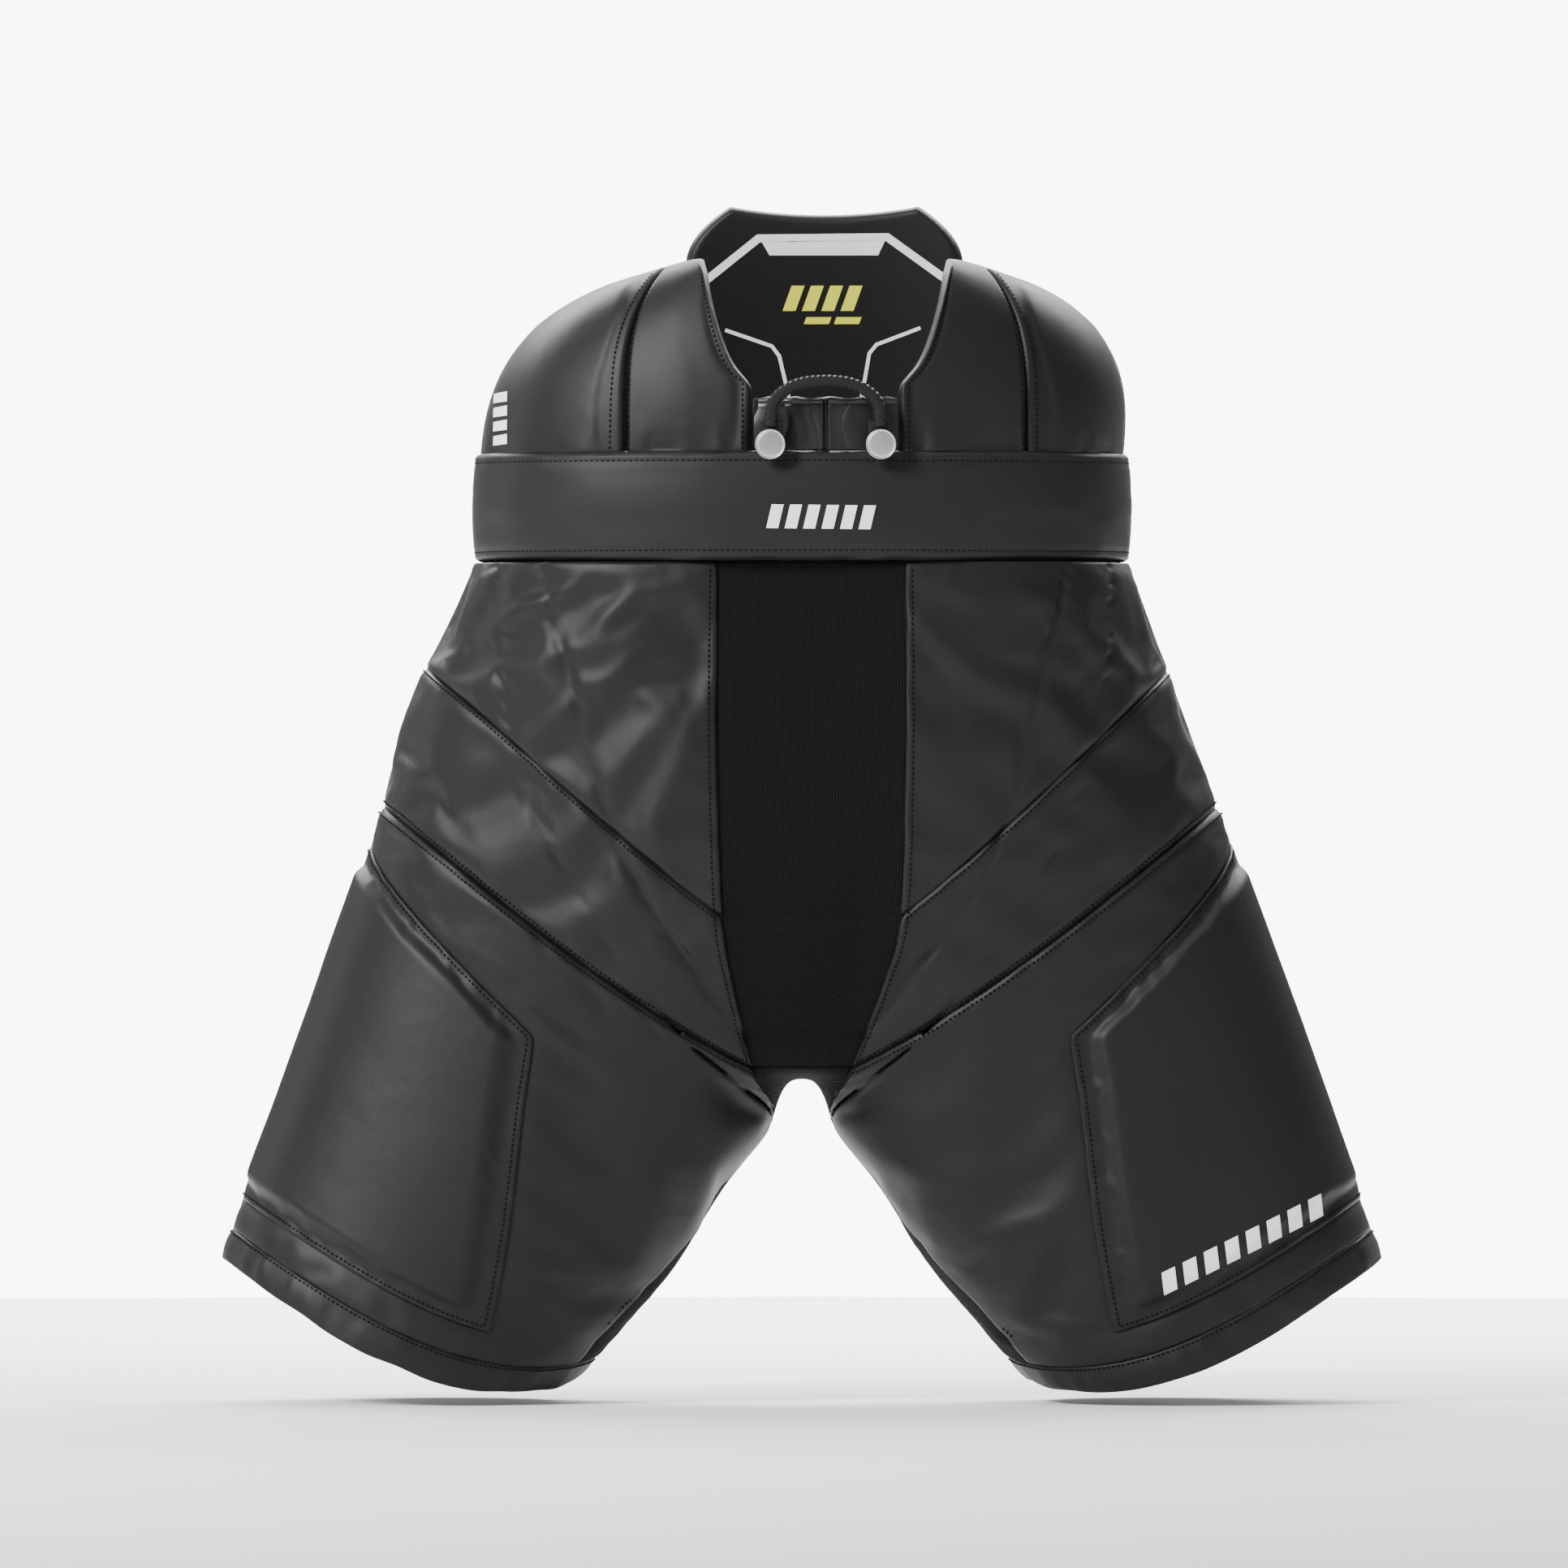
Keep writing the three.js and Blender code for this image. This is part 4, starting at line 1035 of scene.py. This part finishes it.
class Print:
    """A thin layer of ink on the face of a piece, built from four-cornered patches."""

    INK = 0.22

    def __init__(self, base):
        self.tree = BVHTree.FromObject(base, bpy.context.evaluated_depsgraph_get())
        self.points, self.faces = [], []

    def on_face(self, x, z):
        """The point of the piece straight behind (x, z), as seen from the front."""
        start = Vector((x * MM, -0.5, z * MM + GROUND))
        hit, normal, _, _ = self.tree.ray_cast(start, Vector((0, 1, 0)))
        if hit is None:
            return None
        if normal.y > 0:
            normal = -normal
        return hit + normal * self.INK * MM

    def patch(self, corners, across=10, up=4):
        a, b, c, d = (np.array(corner, float) for corner in corners)
        spots = [self.on_face(*mix(mix(a, b, i / across), mix(d, c, i / across), j / up))
                 for j in range(up + 1) for i in range(across + 1)]
        if any(spot is None for spot in spots):
            return
        first = len(self.points)
        self.points += [tuple(spot) for spot in spots]
        for face in grid_faces(up + 1, across + 1):
            self.faces.append(tuple(first + k for k in face))

    def stroke(self, path, width):
        """A line of even width with mitred bends."""
        route = np.array(path, float)
        along = unit(np.diff(route, axis=0))
        left = np.stack([-along[:, 1], along[:, 0]], -1)
        sides = [left[0]]
        for k in range(1, len(route) - 1):
            bisector = unit(left[k - 1] + left[k])
            sides.append(bisector / max(float(bisector @ left[k]), 0.5))
        sides.append(left[-1])
        for k in range(len(route) - 1):
            p, q, s, t = route[k], route[k + 1], sides[k] * width / 2, sides[k + 1] * width / 2
            count = max(int(np.linalg.norm(q - p) / 2), 2)
            self.patch((p - s, q - t, q + t, p + s), across=count, up=2)

    def slanted_bars(self, start, step, size, lean, count):
        """A plain row of leaning bars along a line."""
        start, step = np.array(start, float), np.array(step, float)
        along = step / np.linalg.norm(step)
        up = np.array([-along[1], along[0]])
        for k in range(count):
            foot = start + k * step
            wide, tall = along * size[0], up * size[1] + along * lean
            self.patch((foot, foot + wide, foot + wide + tall, foot + tall), across=5, up=5)

    def pressed(self, name, finish, **moves):
        dress(new_object(name, self.points, self.faces), finish, **moves)


def print_marks(kidney, belt, pocket_right, hip_left):
    band = Print(kidney)
    band.patch(((-16, 565), (38, 565), (41.5, 572.6), (-20, 572)), across=30, up=4)
    band.stroke(((-48, 552.2), (-21.5, 573.4), (42.5, 574), (71, 553.4)), 3.9)
    band.stroke(((-38, 528), (-14.8, 520), (-11.2, 515.2), (-4.5, 487)), 1.8)
    band.stroke(((59, 529), (37.2, 520.8), (33.6, 516.4), (28.5, 487)), 1.8)
    band.pressed("kidney_print_white", "white_print", body="kidney_pad", slot="satin")
    mark = Print(kidney)
    mark.slanted_bars((-9.5, 537.5), (9.6, 0), (6.4, 12.5), 4.5, 4)
    mark.slanted_bars((1, 531), (15, 0), (12.5, 3.4), 1.3, 2)
    mark.pressed("kidney_print_yellow", "yellow_print", body="kidney_pad", slot="satin")
    row = Print(belt)
    row.slanted_bars((-17.5, 427.2), (9.0, -0.1), (5.8, 11.6), 2.6, 6)
    row.pressed("belt_print", "white_print", body=STILL, slot="satin")
    leg = Print(pocket_right)
    leg.slanted_bars((177, 52.5), (10.3, 5.0), (7.2, 10.4), 3.6, 8)
    leg.pressed("leg_print", "white_print", leg="right", slot="nylon")
    tall = Print(hip_left)
    for k in range(4):
        foot = 468.5 + 7.0 * k
        tall.patch(((-151.5, foot), (-144.5, foot + 0.6), (-144.5, foot + 5.6), (-151.3, foot + 4.6)), 5, 3)
    tall.pressed("hip_print", "white_print", body=STILL, slot="nylon")


# ---------------------------------------------------------------- finishes

def group(name, inputs, outputs):
    """An empty shader node group: inputs with their first values, and outputs, all numbers."""
    tree = bpy.data.node_groups.new(name, "ShaderNodeTree")
    for title, value in inputs.items():
        socket = tree.interface.new_socket(title, in_out="INPUT", socket_type="NodeSocketFloat")
        socket.default_value = value
    for title in outputs:
        tree.interface.new_socket(title, in_out="OUTPUT", socket_type="NodeSocketFloat")
    return tree, tree.nodes.new("NodeGroupInput"), tree.nodes.new("NodeGroupOutput")


def maths(tree, operation, a, b=None, c=None):
    node = tree.nodes.new("ShaderNodeMath")
    node.operation = operation
    for k, value in enumerate((a, b, c)):
        if value is None:
            continue
        if isinstance(value, (int, float)):
            node.inputs[k].default_value = value
        else:
            tree.links.new(value, node.inputs[k])
    return node.outputs[0]


def round_and_up(tree):
    """Distance round the garment and height, in millimetres, from the object's own place."""
    place = tree.nodes.new("ShaderNodeTexCoord")
    split = tree.nodes.new("ShaderNodeSeparateXYZ")
    tree.links.new(place.outputs["Object"], split.inputs[0])
    x, y, z = (maths(tree, "MULTIPLY", split.outputs[k], 1000.0) for k in range(3))
    return maths(tree, "ADD", x, maths(tree, "MULTIPLY", y, 0.9)), z, place.outputs["Object"]


def weave_group():
    """Plain weave: threads over and under at the pitch given in millimetres."""
    tree, given, out = group("Plain weave", {"Pitch": 0.5}, ("Height",))
    across, up, _ = round_and_up(tree)
    turn = maths(tree, "DIVIDE", 6.2832, given.outputs["Pitch"])
    warp = maths(tree, "SINE", maths(tree, "MULTIPLY", across, turn))
    weft = maths(tree, "SINE", maths(tree, "MULTIPLY", up, turn))
    tree.links.new(maths(tree, "MULTIPLY_ADD", maths(tree, "MULTIPLY", warp, weft), 0.5, 0.5),
                   out.inputs["Height"])


def rib_group():
    """Knit ribs that run up and down, crossed by finer courses, with a mask for painted shade in the
    valleys between the ribs.
    """
    tree, given, out = group("Knit ribs", {"Rib pitch": 1.4, "Course pitch": 1.2}, ("Height", "Valley shade"))
    across, up, _ = round_and_up(tree)
    waves = []
    for way, title in ((across, "Rib pitch"), (up, "Course pitch")):
        turn = maths(tree, "DIVIDE", 3.1416, given.outputs[title])
        waves.append(maths(tree, "ABSOLUTE", maths(tree, "SINE", maths(tree, "MULTIPLY", way, turn))))
    rib, course = waves
    tree.links.new(maths(tree, "MULTIPLY_ADD", course, 0.55, rib), out.inputs["Height"])
    # Painted shade: this mask is strongest in the valleys between the ribs.
    tree.links.new(maths(tree, "POWER", maths(tree, "SUBTRACT", 1.0, rib), 3.0), out.inputs["Valley shade"])


def cloud(tree, place, scale, detail):
    """A noise texture over a place, at a scale that is given to its group."""
    node = tree.nodes.new("ShaderNodeTexNoise")
    node.inputs["Detail"].default_value = detail
    tree.links.new(place, node.inputs["Vector"])
    tree.links.new(scale, node.inputs["Scale"])
    return node


def tone_group():
    """Slow and fine variation of tone over a cloth, from 0 to 1."""
    first = {"Patch scale": 9.0, "Fleck scale": 900.0, "Fleck share": 0.35}
    tree, given, out = group("Cloth tone", first, ("Tone",))
    place = round_and_up(tree)[2]
    blend = tree.nodes.new("ShaderNodeMix")
    tree.links.new(given.outputs["Fleck share"], blend.inputs[0])
    for k, scale in enumerate(("Patch scale", "Fleck scale")):
        tree.links.new(cloud(tree, place, given.outputs[scale], 3.0).outputs["Fac"], blend.inputs[2 + k])
    tree.links.new(blend.outputs[0], out.inputs["Tone"])


def crumple_group():
    """Small soft creases of a thin cloth."""
    tree, given, out = group("Soft creases", {"Scale": 60.0, "Twist": 0.2}, ("Height",))
    crease = cloud(tree, round_and_up(tree)[2], given.outputs["Scale"], 2.5)
    crease.inputs["Roughness"].default_value = 0.55
    tree.links.new(given.outputs["Twist"], crease.inputs["Distortion"])
    tree.links.new(crease.outputs["Fac"], out.inputs["Height"])


class Finish:
    """One material being built: its Principled shader and the effects placed in it."""

    def __init__(self, name):
        self.material = bpy.data.materials.new(name)
        self.material.use_nodes = True
        self.tree = self.material.node_tree
        self.shader = self.tree.nodes["Principled BSDF"]

    def effect(self, title, **values):
        node = self.tree.nodes.new("ShaderNodeGroup")
        node.node_tree = bpy.data.node_groups[title]
        for key, value in values.items():
            node.inputs[key.replace("_", " ")].default_value = value
        return node

    def set(self, **values):
        for key, value in values.items():
            self.shader.inputs[key.replace("_", " ")].default_value = value

    def colour(self, mask, dark, light):
        blend = self.tree.nodes.new("ShaderNodeMix")
        blend.data_type = "RGBA"
        blend.inputs[6].default_value = (*dark, 1)
        blend.inputs[7].default_value = (*light, 1)
        self.tree.links.new(mask, blend.inputs[0])
        self.tree.links.new(blend.outputs[2], self.shader.inputs["Base Color"])

    def roughness(self, mask, low, high):
        span = self.tree.nodes.new("ShaderNodeMapRange")
        span.inputs["To Min"].default_value = low
        span.inputs["To Max"].default_value = high
        self.tree.links.new(mask, span.inputs["Value"])
        self.tree.links.new(span.outputs[0], self.shader.inputs["Roughness"])

    def relief(self, *layers):
        """Bump layers, each (height, depth in millimetres)."""
        last = None
        for height, depth in layers:
            bump_node = self.tree.nodes.new("ShaderNodeBump")
            bump_node.inputs["Distance"].default_value = depth * MM
            self.tree.links.new(height, bump_node.inputs["Height"])
            if last is not None:
                self.tree.links.new(last, bump_node.inputs["Normal"])
            last = bump_node.outputs[0]
        self.tree.links.new(last, self.shader.inputs["Normal"])


def woven(name, dark, light, rough, pitch, depth, creases, sheen=0.0, fleck=0.3, specular=0.5):
    """Thin woven cloth. creases are their scale and depth."""
    finish = Finish(name)
    tone = finish.effect("Cloth tone", Fleck_share=fleck)
    finish.colour(tone.outputs["Tone"], dark, light)
    finish.roughness(tone.outputs["Tone"], *rough)
    finish.set(Sheen_Weight=sheen, Sheen_Roughness=0.4, Specular_IOR_Level=specular)
    finish.shader.inputs["Sheen Tint"].default_value = (0.9, 0.88, 0.92, 1)
    weave = finish.effect("Plain weave", Pitch=pitch)
    crease = finish.effect("Soft creases", Scale=creases[0])
    finish.relief((crease.outputs["Height"], creases[1]), (weave.outputs["Height"], depth))
    return finish.material


def solid(name, dark, light, rough, depth=None, metallic=0.0, **scales):
    """A material that isn't cloth: tone, roughness and any relief vary together."""
    finish = Finish(name)
    tone = finish.effect("Cloth tone", **scales).outputs["Tone"]
    finish.colour(tone, dark, light)
    finish.roughness(tone, *rough)
    finish.set(Metallic=metallic)
    if depth:
        finish.relief((tone, depth))
    return finish.material


def knitted(name, ridge, valley_shade, rough):
    finish = Finish(name)
    ribs = finish.effect("Knit ribs")
    # The valleys between the ribs get the darker colour: painted shade.
    finish.colour(ribs.outputs["Valley shade"], ridge, valley_shade)
    tone = finish.effect("Cloth tone", Fleck_scale=1400.0, Fleck_share=0.6)
    finish.roughness(tone.outputs["Tone"], *rough)
    finish.set(Sheen_Weight=0.02, Sheen_Roughness=0.5, Specular_IOR_Level=0.06)
    finish.relief((ribs.outputs["Height"], 0.28))
    return finish.material


def make_finishes():
    for make_effect in (weave_group, rib_group, tone_group, crumple_group):
        make_effect()
    return {
        "nylon": woven("Black nylon", (0.0052, 0.0044, 0.005), (0.0095, 0.0081, 0.0089), (0.42, 0.52),
                       0.55, 0.03, (34.0, 0.5), sheen=0.01, specular=0.25),
        "satin": woven("Satin cover", (0.0065, 0.0055, 0.0063), (0.011, 0.0094, 0.0104), (0.46, 0.56),
                       0.45, 0.02, (22.0, 0.4), sheen=0.01, specular=0.25),
        "lining": woven("Shiny lining", (0.011, 0.010, 0.011), (0.011, 0.0098, 0.0107), (0.24, 0.34),
                        0.4, 0.015, (70.0, 0.4), sheen=0.01, specular=0.35),
        "thread": woven("Black thread", (0.0018, 0.0016, 0.0017), (0.004, 0.0035, 0.0038), (0.55, 0.7),
                        0.25, 0.03, (300.0, 0.05), specular=0.12),
        "braid": woven("Braided webbing", (0.004, 0.004, 0.004), (0.010, 0.009, 0.009), (0.5, 0.7),
                       0.9, 0.12, (200.0, 0.1), sheen=0.02, fleck=0.6, specular=0.2),
        "white_print": woven("White print", (0.9, 0.9, 0.89), (0.95, 0.95, 0.94), (0.45, 0.55),
                             0.55, 0.02, (60.0, 0.1)),
        "yellow_print": woven("Yellow print", (0.80, 0.80, 0.035), (0.88, 0.87, 0.05), (0.4, 0.5),
                              0.55, 0.02, (60.0, 0.1)),
        # The knit's second colour is painted shade for the valleys between its ribs.
        "knit": knitted("Ribbed knit", (0.0075, 0.0064, 0.006), (0.002, 0.0017, 0.0016), (0.7, 0.9)),
        "foam": solid("Closed-cell foam", (0.03, 0.032, 0.038), (0.075, 0.08, 0.09), (0.82, 0.96), 0.25,
                      Patch_scale=30.0, Fleck_scale=700.0, Fleck_share=0.6),
        "plastic": solid("Moulded plastic", (0.008, 0.009, 0.010), (0.02, 0.021, 0.023), (0.32, 0.46), 0.06,
                         Patch_scale=14.0, Fleck_scale=1100.0, Fleck_share=0.5),
        "nickel": solid("Brushed nickel", (0.52, 0.505, 0.48), (0.66, 0.645, 0.62), (0.3, 0.44), 0.02,
                        metallic=1.0, Patch_scale=120.0, Fleck_scale=1500.0, Fleck_share=0.5),
        "paper": solid("Pale paper", (0.86, 0.86, 0.86), (0.9, 0.9, 0.9), (0.85, 0.95),
                       Patch_scale=2.0, Fleck_scale=300.0, Fleck_share=0.2),
    }


def refinish_kept_parts():
    """Better materials for the parts that keep their own shape."""
    kept = {"foam": ["hip_insert"], "lining": ["thigh_liner"],
            "nickel": ["snap_socket", "snap_stud", "snap_post"]}
    nodes = {f"{stem}_{name}": finish for finish, stems in kept.items() for stem in stems
             for _, name in SIDES}
    nodes["tailbone_pad"] = "foam"
    for node, finish in nodes.items():
        for slot in frame["nodes"][node].material_slots:
            slot.material = finishes[finish]


# ---------------------------------------------------------------- camera, floor and light

VIEW_CENTRE = (-8.8, 302.4)
VIEW_WIDTH = 772.8
CAMERA_DISTANCE = 10.0


def make_camera():
    data = bpy.data.cameras.new("camera")
    data.sensor_width = 36.0
    data.lens = 36.0 * CAMERA_DISTANCE / (VIEW_WIDTH * MM)
    data.dof.use_dof = False
    camera = bpy.data.objects.new("camera", data)
    camera.location = (VIEW_CENTRE[0] * MM, -CAMERA_DISTANCE, VIEW_CENTRE[1] * MM + GROUND)
    camera.rotation_euler = (math.pi / 2, 0, 0)
    bpy.context.scene.collection.objects.link(camera)
    bpy.context.scene.camera = camera


def area_light(name, place, target, size, power):
    data = bpy.data.lights.new(name, "AREA")
    data.shape = "RECTANGLE"
    data.size, data.size_y = size
    data.energy = power
    lamp = bpy.data.objects.new(name, data)
    lamp.location = place
    lamp.rotation_euler = (Vector(target) - Vector(place)).to_track_quat("-Z", "Y").to_euler()
    bpy.context.scene.collection.objects.link(lamp)


def make_floor():
    """A round pale floor just under the hems."""
    reach, forward, drop, count = 2.4, 0.35, 0.002, 96
    turn = np.linspace(0, 2 * math.pi, count, endpoint=False)
    points = np.stack([reach * np.cos(turn), reach * np.sin(turn) - forward, 0 * turn + GROUND - drop], -1)
    floor = new_object("studio_floor", points, [tuple(range(count))])
    floor.data.materials.append(finishes["paper"])


def make_lights():
    """Five soft lights, and a pale sky with a bright patch far behind the garment."""
    middle = (0, 0, -0.1)
    area_light("key_light", (-1.8, -1.9, 1.5), middle, (0.9, 0.9), 150)
    area_light("fill_light", (2.2, -2.6, 0.5), middle, (1.8, 1.8), 13)
    area_light("top_light", (0.0, -0.2, 2.2), middle, (2.0, 1.0), 22)
    area_light("left_edge_light", (-1.9, 0.5, 0.4), middle, (0.5, 1.6), 8)
    area_light("floor_light", (0, 1.75, 1.3), (0, 1.8, GROUND), (3.2, 1.2), 250)
    world = bpy.data.worlds.new("studio")
    world.use_nodes = True
    tree = world.node_tree
    sky = tree.nodes["Background"]
    sky.inputs["Color"].default_value = (1, 1, 1, 1)
    split = tree.nodes.new("ShaderNodeSeparateXYZ")
    tree.links.new(tree.nodes.new("ShaderNodeTexCoord").outputs["Generated"], split.inputs["Vector"])
    patch = tree.nodes.new("ShaderNodeMapRange")
    patch.interpolation_type = "SMOOTHSTEP"
    wide, full, pale, bright = math.radians(14), math.radians(6), 0.35, 9.0
    for title, value in (("From Min", math.cos(wide)), ("From Max", math.cos(full)),
                         ("To Min", pale), ("To Max", bright)):
        patch.inputs[title].default_value = value
    tree.links.new(split.outputs["Y"], patch.inputs["Value"])
    tree.links.new(patch.outputs["Result"], sky.inputs["Strength"])
    bpy.context.scene.world = world


# ---------------------------------------------------------------- the whole garment

make_camera()
finishes = make_finishes()
make_floor()
make_lights()
halves = make_halves()
make_inner_legs(halves)
make_stretch_panels(halves)
pockets = make_pockets()
make_thigh_plates()
make_thigh_foams()
hems = make_hems()
wings = make_wings()
kidney = make_kidney_pad()
belt = make_belt()
make_fly()
make_hang_loop()
make_snap_caps()
stitch_legs(halves, pockets, hems)
stitch_waist(wings, belt)
made = bpy.data.objects
print_marks(kidney, made["belt_cover_front"], made["thigh_pocket_cloth_right"], made["hip_wing_left"])
refinish_kept_parts()
